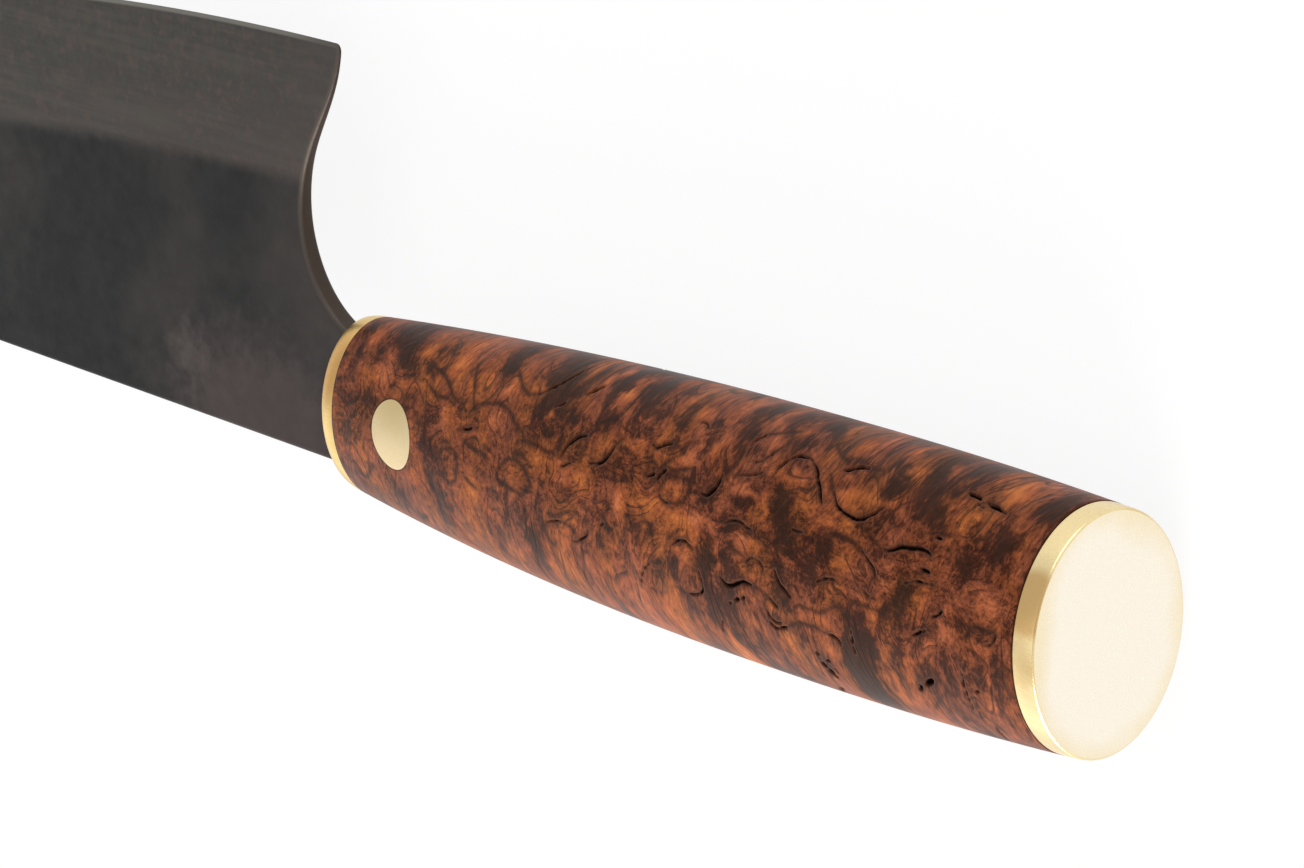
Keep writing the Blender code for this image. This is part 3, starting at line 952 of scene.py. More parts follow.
@dataclass(frozen=True)
class CuredEpoxy(Finish):
    """Slow-cured epoxy in the tang's bore: amber, glassy, with small bubbles."""

    name: str = "cured_epoxy"
    bubble_size: float = 1.1
    bubble_depth: float = 0.05

    def make(self, origin: Vector) -> bpy.types.Material:
        """Makes the material.

        Args:
            origin: the knife's origin in the frame.

        Returns:
            The material.
        """
        material, add, place = self.start(origin)
        bubbles = add("ShaderNodeTexVoronoi", {"Vector": place, "Scale": 1 / self.bubble_size})
        amber = add(RAMP, [bubbles], ((0.0, "#d8c08a"), (0.25, "#a8823f"), (0.8, "#8a6a32")))
        bump = add(BUMP, {"Height": bubbles, "Strength": 0.3, "Distance": self.bubble_depth * MM})
        inputs = {"Base Color": amber, "Roughness": 0.3, "Normal": bump}
        add(OUTPUT, {"Surface": add(SURFACE, inputs)})
        return material


# Pieces


@dataclass
class Piece:
    """What the makers of all pieces share.

    Args:
        axes: the knife's axes.
        form: the handle's ovals.
        ovals: the tree that sweeps them.
    """

    axes: KnifeAxes
    form: HandleForm
    ovals: OvalTree


@dataclass(frozen=True)
class Row:
    """A line of the blade's grid, from the rear rim to the tip.

    Args:
        rear: place on the rear rim.
        inward: direction from the rim into the blade.
        share: part of the way up the bevel, or up the flat, at the inset place.
        on_flat: whether the row lies above the bevel's shoulder.
        ease: rounding of the rim's long edges here.
        below_spine: for a row on the spine's rounding, how far it lies below the spine.
        tuck: for such a row, how far it lies in from the flat.
    """

    rear: Vector
    inward: Vector
    share: float
    on_flat: bool
    ease: float
    below_spine: float | None = None
    tuck: float = 0.0


@dataclass
class Blade(Piece):
    """The forged blade with its tang.

    The sizes are the solid's, in metres: a straight spine that falls to the tip, an edge that
    rises to it, flats that taper, a ground bevel, a choil and a rounded heel.
    """

    edge_length: float = 210.0 * MM
    height: float = 51.0 * MM
    spine_y: float = 8.15 * MM
    heel_ahead: float = 1.2 * MM
    lowest_ahead: float = 9.0 * MM
    tip_rise: float = 33.0 * MM
    spine_straight: float = 95.0 * MM
    edge_curve: float = 2.0
    spine_curve: float = 2.2
    nose_height: float = 0.5 * MM
    spine_thickness: float = 3.4 * MM
    tip_thickness: float = 1.6 * MM
    bevel: float = 18.0 * MM
    bevel_share_at_tip: float = 0.7
    bevel_thickness: float = 1.95 * MM
    bevel_bulge: float = 0.05 * MM
    behind_edge: float = 0.1 * MM
    micro_bevel: float = 0.6 * MM
    spine_rounding: float = 0.45 * MM
    choil_depth: float = 9.93 * MM
    choil_y: float = -21.0 * MM
    neck_y: float = -8.1 * MM
    choil_handles: Sequence[tuple[float, float]] = ((2.7, -34.15), (9.93, -30.3), (9.93, -15.8), (7.0, -9.6))
    heel_rounding: float = 0.8 * MM
    choil_easing: float = 0.65 * MM
    inset: float = 1.3 * MM
    tang_length: float = 88.0 * MM
    tang_front: float = 13.2 * MM
    tang_end: float = 8.0 * MM
    tang_thickness: float = 2.0 * MM
    tang_drop: float = 1.0 * MM
    pin_hole: float = 8.2 * MM
    pin_place: tuple[float, float] = (-15.6 * MM, -1.6 * MM)
    columns: int = 170
    columns_crowd: float = 1.35
    ease_steps: int = 5
    ease_share: float = 0.8
    inset_steps: int = 4
    choil_steps: tuple[int, int] = (46, 34)
    corner_steps: int = 7
    corner_pull: float = 0.55
    neck_steps: int = 24
    neck_direction: tuple[float, float] = (0.75, 0.66)
    neck_reach: float = 2.4 * MM
    edge_reach: float = 2.2 * MM
    hidden_ease: float = 0.02 * MM
    least_height: float = 0.05 * MM
    rim_parts: int = 8
    closest: float = 0.01 * MM

    @property
    def reach(self) -> float:
        """X of the tip."""
        return self.heel_ahead + self.edge_length

    @property
    def lowest(self) -> float:
        """Y of the edge's lowest point."""
        return self.spine_y - self.height

    def edge_at(self, x: float) -> float:
        """Y of the cutting edge at x."""
        share = (x - self.lowest_ahead) / (self.reach - self.lowest_ahead)
        return self.lowest + self.tip_rise * abs(share) ** self.edge_curve

    def spine_at(self, x: float) -> float:
        """Y of the spine at x."""
        fall = self.height - self.tip_rise - self.nose_height
        share = (x - self.spine_straight) / (self.reach - self.spine_straight)
        return self.spine_y - fall * max(share, 0.0) ** self.spine_curve

    def bevel_at(self, x: float) -> float:
        """Height of the ground bevel at x."""
        share = self.bevel_share_at_tip * (self.spine_at(x) - self.edge_at(x))
        return (self.bevel**-4 + share**-4) ** -0.25

    def flat_half(self, x: float, y: float) -> float:
        """Measures between the flats.

        Args:
            x: place along the knife.
            y: height in the blade's plane.

        Returns:
            Half the thickness.
        """
        to_tip = (self.spine_thickness - self.tip_thickness) / self.reach
        to_bevel = (self.spine_thickness - self.bevel_thickness) / (self.height - self.bevel)
        return (self.spine_thickness - to_tip * x - to_bevel * (self.spine_y - y)) / 2

    def half_thickness(self, x: float, y: float) -> float:
        """Measures the blade at a point, down to a keen edge.

        Args:
            x: place along the knife.
            y: height in the blade's plane.

        Returns:
            Half the thickness.
        """
        edge = self.edge_at(x)
        height = self.bevel_at(x)
        share = (y - edge) / height
        if share >= 1.0:
            return self.flat_half(x, y)
        shoulder = self.flat_half(x, edge + height)
        bulge = 4 * self.bevel_bulge * share * (1 - share) * height / self.bevel
        ground = self.behind_edge + (shoulder - self.behind_edge) * share + bulge
        return ground * min((y - edge) / self.micro_bevel, 1.0)

    def rear_rim(self) -> list[Vector]:
        """Draws the rear rim: round the heel, up the choil and up the bolster's face to the spine.

        Returns:
            Its points in the blade's plane.
        """
        heel = Vector((self.heel_ahead, self.lowest))
        apex = Vector((self.choil_depth, self.choil_y))
        neck = Vector((0.0, self.neck_y))
        handles = [Vector(pair) * MM for pair in self.choil_handles]
        choil = interpolate_bezier(heel, *handles[:2], apex, self.choil_steps[0])
        choil += interpolate_bezier(apex, *handles[2:], neck, self.choil_steps[1])[1:]
        choil = [point.to_2d() for point in choil]
        kept = [point for point in choil if (point - heel).length > self.heel_rounding]
        ahead = self.heel_ahead + self.heel_rounding
        start = Vector((ahead, self.edge_at(ahead)))
        pulls = [end.lerp(heel, self.corner_pull) for end in (start, kept[0])]
        corner = interpolate_bezier(start, *pulls, kept[0], self.corner_steps)[:-1]
        top = Vector((0.0, self.spine_y))
        climb = [neck.lerp(top, step / self.neck_steps) for step in range(1, self.neck_steps + 1)]
        return [point.to_2d() for point in corner] + kept + climb

    def inward_directions(self, rim: list[Vector]) -> list[Vector]:
        """Finds the way into the blade all along the rim, turned gently past its corners.

        Args:
            rim: the rear rim's points.

        Returns:
            A direction for each point.
        """
        neck = Vector((0.0, self.neck_y))
        forward = Vector((1.0, 0.0))
        found = []
        for place, point in enumerate(rim):
            before = rim[max(place - 1, 0)]
            after = rim[min(place + 1, len(rim) - 1)]
            along = (after - before).normalized()
            normal = Vector((along.y, -along.x))
            if point.x < TOUCHING and point.y > self.neck_y - TOUCHING:
                normal = forward
            near_neck = max(1 - (point - neck).length / self.neck_reach, 0.0)
            near_edge = max(1 - (point.y - self.lowest) / self.edge_reach, 0.0)
            normal = normal.lerp(Vector(self.neck_direction), near_neck**0.8)
            found.append(normal.lerp(forward, min(near_edge * 1.4, 1.0)).normalized())
        return found

    def rows(self) -> list[Row]:
        """Lays out the right side, from the edge to the middle of the spine.

        Returns:
            Its rows, in order.
        """
        rim = self.rear_rim()
        rows = []
        for point, inward in zip(rim, self.inward_directions(rim)):
            if point.y > self.spine_y - self.spine_rounding - self.least_height:
                break
            inner = point + inward * self.inset
            edge = self.edge_at(inner.x)
            shoulder = edge + self.bevel_at(inner.x)
            on_flat = inner.y >= shoulder
            low, high = (shoulder, self.spine_at(inner.x)) if on_flat else (edge, shoulder)
            share = max((inner.y - low) / (high - low), 0.0) if rows else 0.0
            half = self.half_thickness(point.x, max(point.y, self.edge_at(point.x) + self.least_height))
            ease = min(self.choil_easing, self.ease_share * half)
            if point.x < TOUCHING:
                ease = self.hidden_ease
            rows.append(Row(point, inward, share, on_flat, ease))
        forward = Vector((1.0, 0.0))
        for step in range(self.ease_steps + 1):
            turn = math.pi / 2 * step / self.ease_steps
            below = self.spine_rounding * (1 - math.sin(turn))
            tuck = self.spine_rounding * (1 - math.cos(turn))
            rear = Vector((0.0, self.spine_y - below))
            rows.append(Row(rear, forward, 1.0, True, self.hidden_ease, below, tuck))
        middle = Vector((0.0, self.spine_y))
        rows.append(Row(middle, forward, 1.0, True, self.hidden_ease, 0.0, self.spine_thickness))
        return self.with_bevel_rows(rows)

    def with_bevel_rows(self, rows: list[Row]) -> list[Row]:
        """Puts the micro bevel's row and the shoulder's row exactly where they belong.

        Args:
            rows: all rows, of which two are replaced.

        Returns:
            The rows.
        """
        inner = rows[0].rear + rows[0].inward * self.inset
        target = self.micro_bevel / self.bevel_at(inner.x)
        misses = [abs(row.share - target) + row.on_flat for row in rows]
        closest = misses.index(min(misses[1:]), 1)
        rows[closest] = replace(rows[closest], share=target, on_flat=False)
        last = max(place for place, row in enumerate(rows) if not row.on_flat)
        rows[last] = replace(rows[last], share=1.0, on_flat=False)
        return rows

    def row_y(self, row: Row, x: float) -> float:
        """Finds a row's height.

        Args:
            row: the row.
            x: place along the knife.

        Returns:
            Its Y there.
        """
        edge = self.edge_at(x)
        spine = self.spine_at(x)
        most = 0.3 * (spine - edge)
        if row.below_spine is not None:
            return spine - min(row.below_spine, most)
        shoulder = edge + self.bevel_at(x)
        if row.on_flat:
            top = spine - min(self.spine_rounding, most)
            return min(shoulder + (spine - shoulder) * row.share, top)
        return edge + (shoulder - edge) * row.share

    def row_points(self, row: Row, last: bool) -> list[Vector]:
        """The points of a row: the rear face, its eased edge, and on to the tip.

        Args:
            row: the row.
            last: whether it is the edge's or the spine's middle, where the sides meet.

        Returns:
            Points of the right side, from the rear face's middle to the tip.
        """
        half = self.half_thickness(row.rear.x, row.rear.y)
        half = max(half - row.tuck, 0.0)
        ease = min(row.ease, self.ease_share * half)
        points = [Vector((*row.rear, 0.0))]
        for step in range(self.ease_steps + 1):
            turn = math.pi / 2 * step / self.ease_steps
            place = row.rear + row.inward * ease * (1 - math.cos(turn))
            points.append(Vector((*place, half - ease * (1 - math.sin(turn)))))
        inner = row.rear + row.inward * self.inset
        inner.y = self.row_y(row, inner.x)
        for step in range(1, self.inset_steps):
            place = (row.rear + row.inward * ease).lerp(inner, step / self.inset_steps)
            points.append(Vector((*place, max(self.half_thickness(*place) - row.tuck, 0.0))))
        for step in range(self.columns + 1):
            along = 1 - (1 - step / self.columns) ** self.columns_crowd
            x = inner.x + (self.reach - inner.x) * along
            y = self.row_y(row, x)
            z = 0.0 if step == self.columns else max(self.half_thickness(x, y) - row.tuck, 0.0)
            points.append(Vector((x, y, z)))
        if last:
            for point in points:
                point.z = 0.0
        return points

    def blade_mesh(self) -> bpy.types.Mesh:
        """Builds the blade ahead of the bolster: one side's grid, mirrored and closed.

        Returns:
            Its mesh, in the knife's axes.
        """
        rows = self.rows()
        shape = bmesh.new()
        lines = []
        for place, row in enumerate(rows):
            ends = place in (0, len(rows) - 1)
            line = []
            for here, point in enumerate(self.row_points(row, ends)):
                # Rows that run together at the tip share a vertex
                below = lines[-1][here] if lines else None
                if below and (below.co - point).length < self.closest:
                    below.co.z = min(below.co.z, point.z)
                    line.append(below)
                else:
                    line.append(shape.verts.new(point))
            lines.append(line)
        for line, following in zip(lines, lines[1:]):
            for here in range(len(line) - 1):
                corners = (line[here], line[here + 1], following[here + 1], following[here])
                corners = tuple(dict.fromkeys(corners))
                if here == len(line) - 2 and len(corners) == 4:
                    # At the nose, each half of a face keeps a corner off the middle plane
                    if not line[here].co.z:
                        corners = corners[1:] + corners[:1]
                    shape.faces.new((corners[0], *corners[2:]))
                    corners = corners[:3]
                if len(corners) > 2:
                    shape.faces.new(corners)
        bmesh.ops.mirror(shape, geom=list(shape.faces) + list(shape.verts), axis="Z", merge_dist=0.0005 * MM)
        bmesh.ops.recalc_face_normals(shape, faces=shape.faces)
        mesh = filled("blade", shape, smooth=True)
        mesh.set_sharp_from_angle(angle=math.radians(40))
        return mesh

    def tang_mesh(self) -> bpy.types.Mesh:
        """Builds the tang's plate with the cross pin's hole, behind the bolster's face.

        Returns:
            Its mesh, in the knife's axes.
        """
        outline = bpy.data.curves.new("tang", "CURVE")
        outline.dimensions = "2D"
        outline.fill_mode = "BOTH"
        outline.extrude = self.tang_thickness / 2
        x, y = self.pin_place
        # Centre, radius, first angle, angle covered and steps of the rounded end and of the hole
        end, hole = (
            [
                (middle + radius * math.cos(turn), height + radius * math.sin(turn))
                for turn in (first + covered * step / steps for step in range(steps + 1))
            ]
            for middle, height, radius, first, covered, steps in (
                (self.tang_end / 2 - self.tang_length, 0.0, self.tang_end / 2, math.pi / 2, math.pi, 16),
                (x, y + self.tang_drop, self.pin_hole / 2, 0.0, 2 * math.pi, 48),
            )
        )
        front = self.tang_front / 2
        for loop in ([(0.0, front), *end, (0.0, -front)], hole[:-1]):
            spline = outline.splines.new("POLY")
            spline.points.add(len(loop) - 1)
            for point, (x, y) in zip(spline.points, loop):
                point.co = (x, y - self.tang_drop, 0.0, 1.0)
            spline.use_cyclic_u = True
        mesh = baked(new_object("tang", outline), "tang")
        bpy.data.curves.remove(outline)
        return mesh

    def build(self, steel: bpy.types.Material) -> bpy.types.Object:
        """Builds the blade and its tang as one piece, and dresses it.

        Args:
            steel: the finish.

        Returns:
            The piece, in its place.
        """
        shape = bmesh.new()
        tang = self.tang_mesh()
        mesh = self.blade_mesh()
        shape.from_mesh(mesh)
        first_tang = len(shape.verts)
        shape.from_mesh(tang)
        shape.verts.ensure_lookup_table()
        bmesh.ops.remove_doubles(shape, verts=shape.verts[first_tang:], dist=0.001 * MM)
        filled(mesh, shape)
        self.store_measures(mesh)
        mesh.materials.clear()
        mesh.materials.append(steel)
        return new_object("forged_blade", self.axes.settle(mesh))

    def store_measures(self, mesh: bpy.types.Mesh) -> None:
        """Stores what the finish reads: mm above the edge, above the shoulder and from the choil.

        Args:
            mesh: the blade, in the knife's axes.
        """
        rim = [point for point in self.rear_rim() if point.x > TOUCHING]
        shares = [part / self.rim_parts for part in range(self.rim_parts)]
        near = nearest_of([a.lerp(b, share).to_3d() for a, b in zip(rim, rim[1:]) for share in shares])
        above, shoulder, choil = [], [], []
        for vertex in mesh.vertices:
            x, y, _ = vertex.co
            edge = self.edge_at(max(x, 0.0))
            above.append((y - edge) / MM)
            shoulder.append((y - edge - self.bevel_at(min(max(x, 0.0), self.reach))) / MM)
            choil.append(near.find((x, y, 0.0))[2] / MM)
        for name, values in (("above_edge", above), ("from_shoulder", shoulder), ("from_choil", choil)):
            store(mesh, name, values)


# Handle wood


@dataclass(frozen=True)
class Fissure:
    """A line in the burl's surface.

    Args:
        width: its widest, in mm.
        broken: how much its width flutters, from 0, even, to 1, dotted.
        path: (station, angle) of its points.
    """

    width: float
    broken: float
    path: Sequence[tuple[float, float]]


@dataclass(frozen=True)
class Cloud:
    """A patch of darker or brighter wood.

    Args:
        station: mm behind the bolster's front.
        angle: degrees round the handle.
        length: its radius along the handle, in mm.
        height: its radius across the handle, in mm.
        tone: -1 for near black to 1 for bright orange.
    """

    station: float
    angle: float
    length: float
    height: float
    tone: float


# Black fissures on the side that the photograph shows: the width, how broken it is, and then the
# station and angle of each point
FISSURES = (
    (0.42, 0.3, 29.3, -24.2, 30.3, -25, 31.1, -27),
    (0.42, 0.4, 39.6, -53, 40.9, -58, 41.8, -64, 42.6, -71, 42.9, -77),
    (0.5, 0.3, 46.7, -60, 47.3, -64, 48.1, -68.5), (0.24, 0.5, 43.1, -48.4, 44, -50.6, 44.5, -53),
    (0.42, 0.3, 47.3, -26.4, 47.5, -30, 48.2, -34.4, 49, -37.5, 50.3, -40.4),
    (0.4, 0.3, 47.4, -22.2, 48.2, -23, 49, -25.4),
    (0.42, 0.3, 52, -28, 53.4, -29, 54.3, -31.3, 54.8, -35, 55.1, -39),
    (0.26, 0.3, 45.6, 5.8, 46.8, 4.1, 48.4, 2.8), (0.28, 0.3, 50, 10.6, 51.2, 8.8, 52.3, 6.3, 53, 2.4),
    (0.3, 0.3, 55.1, -1.8, 55.7, -3.9), (0.4, 0.3, 60.4, -45, 61.2, -43.8, 62.3, -46.5, 63.2, -47.6),
    (0.26, 0.3, 65, -62.8, 65.8, -62.8, 66.7, -60.4), (0.32, 0.3, 73.6, -57, 73.7, -61.3, 74.5, -66.3),
    (0.4, 0.8, 75.5, -50, 76.4, -51.9, 77, -56.3, 77.6, -60, 78.3, -65.6),
    (0.34, 0.3, 78.8, -46, 79.1, -52.5, 80.1, -58.1, 81.4, -60.4, 82.8, -59.2),
    (0.42, 0.3, 82.8, -59.2, 84, -55, 85.3, -48.8, 86.3, -43.8, 87, -39.6),
    (0.5, 0.3, 70, -29.6, 70.9, -29.6, 71.7, -33.1, 72.1, -36.9, 72.2, -41),
    (0.26, 0.3, 74.2, -41.9, 75.3, -43.5, 76.4, -44.8, 77.4, -46.9), (0.4, 0.3, 61.5, -29.2, 62.6, -32.7),
    (0.48, 0.3, 63, -29.2, 63.3, -32.5, 63.9, -35.4), (0.4, 0.3, 59, -29, 59.4, -24.8),
    (0.3, 0.3, 64, -24, 64.6, -22.1, 65.6, -21.3),
    (0.28, 0.3, 74.4, -20.3, 75.2, -22, 76.4, -22.8, 77.8, -21.5, 78.7, -20.6),
    (0.26, 0.3, 78.3, -6.9, 78.9, -9, 79.8, -9.4, 80.6, -7.5, 81, -5),
    (0.34, 0.3, 66.8, -4, 67.6, -6.6, 68.7, -7.5, 69.5, -6.3, 70.2, -5),
    (0.38, 0.4, 71, 3.6, 71.2, 7.5, 71.2, 11.3, 70.7, 14.4, 69.8, 16.3, 68.9, 16.9),
    (0.3, 1, 60.5, 22.5, 61.2, 16.3, 62.1, 11.3, 63.4, 6.9), (0.3, 0.8, 62.9, -8.2, 62.6, -5.4),
    (0.5, 0.3, 74.3, 3.4, 75.1, 6.3, 75.9, 6, 77, 3.8, 78.1, 2.5, 79.3, 2.5),
    (0.34, 0.3, 81.6, 5.4, 82.2, 7, 83, 9), (0.46, 0.9, 75.2, 15, 76.2, 12.3, 77, 10.6, 78.2, 9.2),
    (0.32, 0.5, 80.9, 11, 81.4, 14.4, 82.3, 16.9, 83.2, 16),
    (0.44, 0.3, 81.1, 17.2, 81.8, 19.5, 82.7, 19.4, 83.8, 17.8),
    (0.38, 0.3, 82.6, -7.8, 83.1, -3.1, 83.8, -0.6, 85.1, 2.5),
    (0.32, 0.3, 84.2, -26.5, 85.1, -26, 85.9, -26.9), (0.5, 0.3, 86.1, 61, 86.7, 54),
    (0.48, 0.3, 87.1, -58.8, 88.1, -61.3, 89.1, -63.5, 90.2, -64.4),
    (0.42, 0.3, 87.6, -47.6, 88.7, -42.5, 89.8, -40, 91.2, -38.8, 92.8, -39.8, 95.1, -47.5),
    (0.3, 0.3, 94.2, -26.2, 95.1, -23.8, 96.2, -20.6, 96.8, -16.9),
    (0.28, 0.3, 88.7, -8.1, 89.5, -10, 90.6, -11.3, 91.4, -10.6),
    (0.26, 0.3, 95.3, -10.6, 95.9, -8.8, 96.4, -9.8), (0.36, 0.3, 90.1, 14.3, 91.2, 15.6, 91.5, 18.5),
    (0.4, 0.6, 93.5, 8.6, 93.4, 13.8, 93.5, 20.2),
    (0.5, 0.2, 97, -30, 97.7, -30, 98.9, -32.3, 100.6, -33.8, 102.3, -34.4, 103.3, -32.6),
    (0.4, 0.2, 102.7, -41.6, 103.8, -41.6), (0.44, 0.2, 102.3, -26, 103.7, -26),
    (0.34, 0.6, 100.7, -18.6, 101.6, -20, 102.6, -21, 104.5, -21),
    (0.38, 0.3, 104.8, -8.1, 105.5, -9.4, 106.1, -12.2), (0.5, 0.3, 102.2, 2.8, 102.8, 1.3, 103.5, -0.6),
    (0.44, 0.2, 103.3, -68.2, 104.2, -67.5, 105.3, -66.3), (0.36, 0.9, 105.3, -63.2, 106.4, -62),
    (0.46, 0.4, 106.2, -65.2, 108.1, -64.4, 109.3, -63),
    (0.34, 0.3, 111.8, -2.6, 112.6, -3.5, 113.1, -6.3, 113.3, -9),
    (0.72, 0.2, 102.7, 26.6, 103.5, 23.8, 104.2, 21.7), (0.54, 0.2, 101.5, 31, 102, 27),
    (0.36, 0.9, 108.4, 9, 108.4, 15, 108.3, 20, 108.5, 26.3, 108.4, 34), (0.4, 0.3, 109.8, 22, 110.4, 21.2),
    (0.36, 0.5, 110.3, 43, 110, 50, 109.8, 59), (0.5, 0.3, 87, 27.4, 87.6, 27),
    (0.78, 0.3, 87.2, 32, 87.8, 35, 88.5, 41.6), (0.4, 0.3, 88.2, 30.4, 88.9, 29.6),
    (0.5, 0.7, 89, 33.6, 89.2, 37), (0.44, 0.3, 86.8, 55.6, 87.4, 51.6),
    (0.24, 0.5, 72.3, 34, 72.8, 28.8, 73.3, 25), (0.3, 0.8, 103.4, -0.2, 104, -1.8),
)

# Soft brown lines on the same side, mostly the rims of closed eyes, in the same form
EYE_RIMS = (
    (0.34, 0.3, 19.9, -52.5, 22.1, -51, 24.6, -45, 26, -39, 27.7, -37, 28.9, -38.8),
    (0.28, 0.3, 20.9, -42, 23, -37, 25.2, -37, 26.8, -35), (0.26, 0.3, 27.1, -62.5, 28.2, -52.5, 29.4, -45),
    (0.24, 0.3, 15.7, -42.5, 16.8, -43.6, 17.8, -45.6), (0.34, 0.3, 3.8, -19, 6, -17, 7.6, -18.5, 8.3, -24),
    (0.26, 0.3, 25.4, -5, 26.2, -10.5, 28, -12.5, 29, -9, 28.8, 1.5, 27.2, 5, 25.6, 1, 25.4, -5),
    (0.24, 0.3, 25.8, -15, 27.6, -16), (0.3, 0.3, 6.4, 20, 7, 27, 8.6, 28, 10, 21, 11.4, 15),
    (0.34, 0.3, 29.8, -33, 30.9, -38.8, 33.2, -41.9, 34.8, -42.1, 36.5, -40, 38.2, -35, 40, -31.8),
    (0.3, 0.3, 33.4, -66, 35.4, -59, 36.8, -54, 38.4, -52, 39.8, -53.4),
    (0.26, 0.3, 46, -38, 46.1, -41.9, 46.8, -43.8, 47.7, -43.8),
    (0.32, 0.3, 39, -25, 39.6, -27.5, 40.7, -28.8, 42.3, -28.5, 44.6, -26.9, 46.4, -26.4),
    (0.34, 0.3, 39.3, -21.9, 40.4, -21.3, 41.3, -22),
    (
        0.4, 0.3, 36.5, -6.5, 37.1, -11.9, 38.2, -16.9, 39.6, -18.8, 40.9, -16.9,
        42.3, -12.5, 42.8, -8.8, 41.8, -4.4, 40.9, -3.1, 39.3, -4.4, 36.5, -6.5,
    ),
    (0.32, 0.3, 30.1, -18.8, 31.8, -16.9, 33.4, -16.3, 34.8, -14.6),
    (0.22, 0.3, 30.4, -1.3, 31.6, 1, 32.8, 2.5),
    (0.28, 0.3, 44.7, 6.6, 45.2, 12.5, 45.8, 16.3, 46.5, 16.3, 46.9, 13),
    (0.2, 0.3, 45.7, 1.3, 47.3, 0.6, 49.6, -3.1, 50.8, -4.4), (0.22, 0.3, 48.4, 2.8, 49.6, 3.4, 50.6, 6),
    (0.26, 0.3, 56.1, -37.5, 56.8, -39.6, 57.7, -37.4), (0.24, 0.3, 55.1, -39, 55.8, -43),
    (0.26, 0.3, 51.4, 15, 52.2, 13.6), (0.26, 0.3, 63.2, -47.6, 64.6, -47, 65.6, -44),
    (0.22, 0.3, 63, -35, 64.3, -41.6), (0.28, 0.3, 64.5, -35.6, 66.4, -37.5, 68, -39.6),
    (
        0.32, 0.3, 65.6, -21.3, 67, -22.3, 67.8, -24.4, 68.4, -29, 67.6, -33.1,
        65.9, -33.8, 64.5, -31.3, 63.8, -26,
    ),
    (0.28, 0.3, 74.5, -66.3, 75.3, -68, 77, -71.9, 78.3, -75.4),
    (0.24, 0.3, 74.8, -8.8, 75.9, -10.6, 77, -10, 77.8, -9.2), (0.26, 0.3, 63.4, 6.9, 65, 4.8),
    (0.26, 0.3, 79.3, 2.5, 80.5, 3.8, 81.6, 5.4), (0.24, 0.3, 80.8, 11, 80.9, 7.4, 81.8, 5.6),
    (0.26, 0.3, 83.8, 17.8, 84.5, 15.6, 85.6, 13.1, 87, 13, 88.7, 13.1, 90.1, 14.3),
    (0.24, 0.3, 83.7, -73, 84.8, -68.8, 85.9, -65.6, 87.2, -65.2),
    (0.26, 0.3, 75.6, 51, 76.2, 40, 76.7, 37.5, 77.5, 36.8), (0.3, 0.3, 86, -56, 86.8, -51.4, 87.6, -47.6),
    (0.34, 0.3, 88.2, -25.6, 88.7, -27.8, 90.1, -29.4, 92.3, -29, 94.2, -26.2),
    (0.28, 0.3, 93.5, -4.2, 94.8, -4.6, 96.2, -3.8, 97.6, -3.4),
    (0.26, 0.3, 86.6, 4.6, 88.7, 5, 90.3, 2.8, 92.3, -1.9), (0.3, 0.3, 90.2, -64.4, 91.6, -64.4),
    (0.24, 0.3, 101.6, -42.4, 103.4, -43.6, 105.2, -44.4), (0.3, 0.3, 110, -8.8, 111.4, -9.2, 113.2, -9),
    (0.24, 0.3, 94.4, 34, 94.7, 39, 95.2, 44), (0.26, 0.3, 102.3, 42.5, 103.7, 35, 104.8, 29.4),
    (0.24, 0.3, 96.4, -31, 95.2, -32.4, 94.7, -33.4), (0.22, 0.3, 85.4, -50, 84.6, -46, 83, -44),
    (0.2, 0.3, 66.9, 16, 68.9, 17, 70, 16), (0.3, 0.3, 17.6, 44, 18.6, 41, 19.8, 37),
    (0.22, 0.3, 10, -30, 10.6, -25, 12, -21),
)
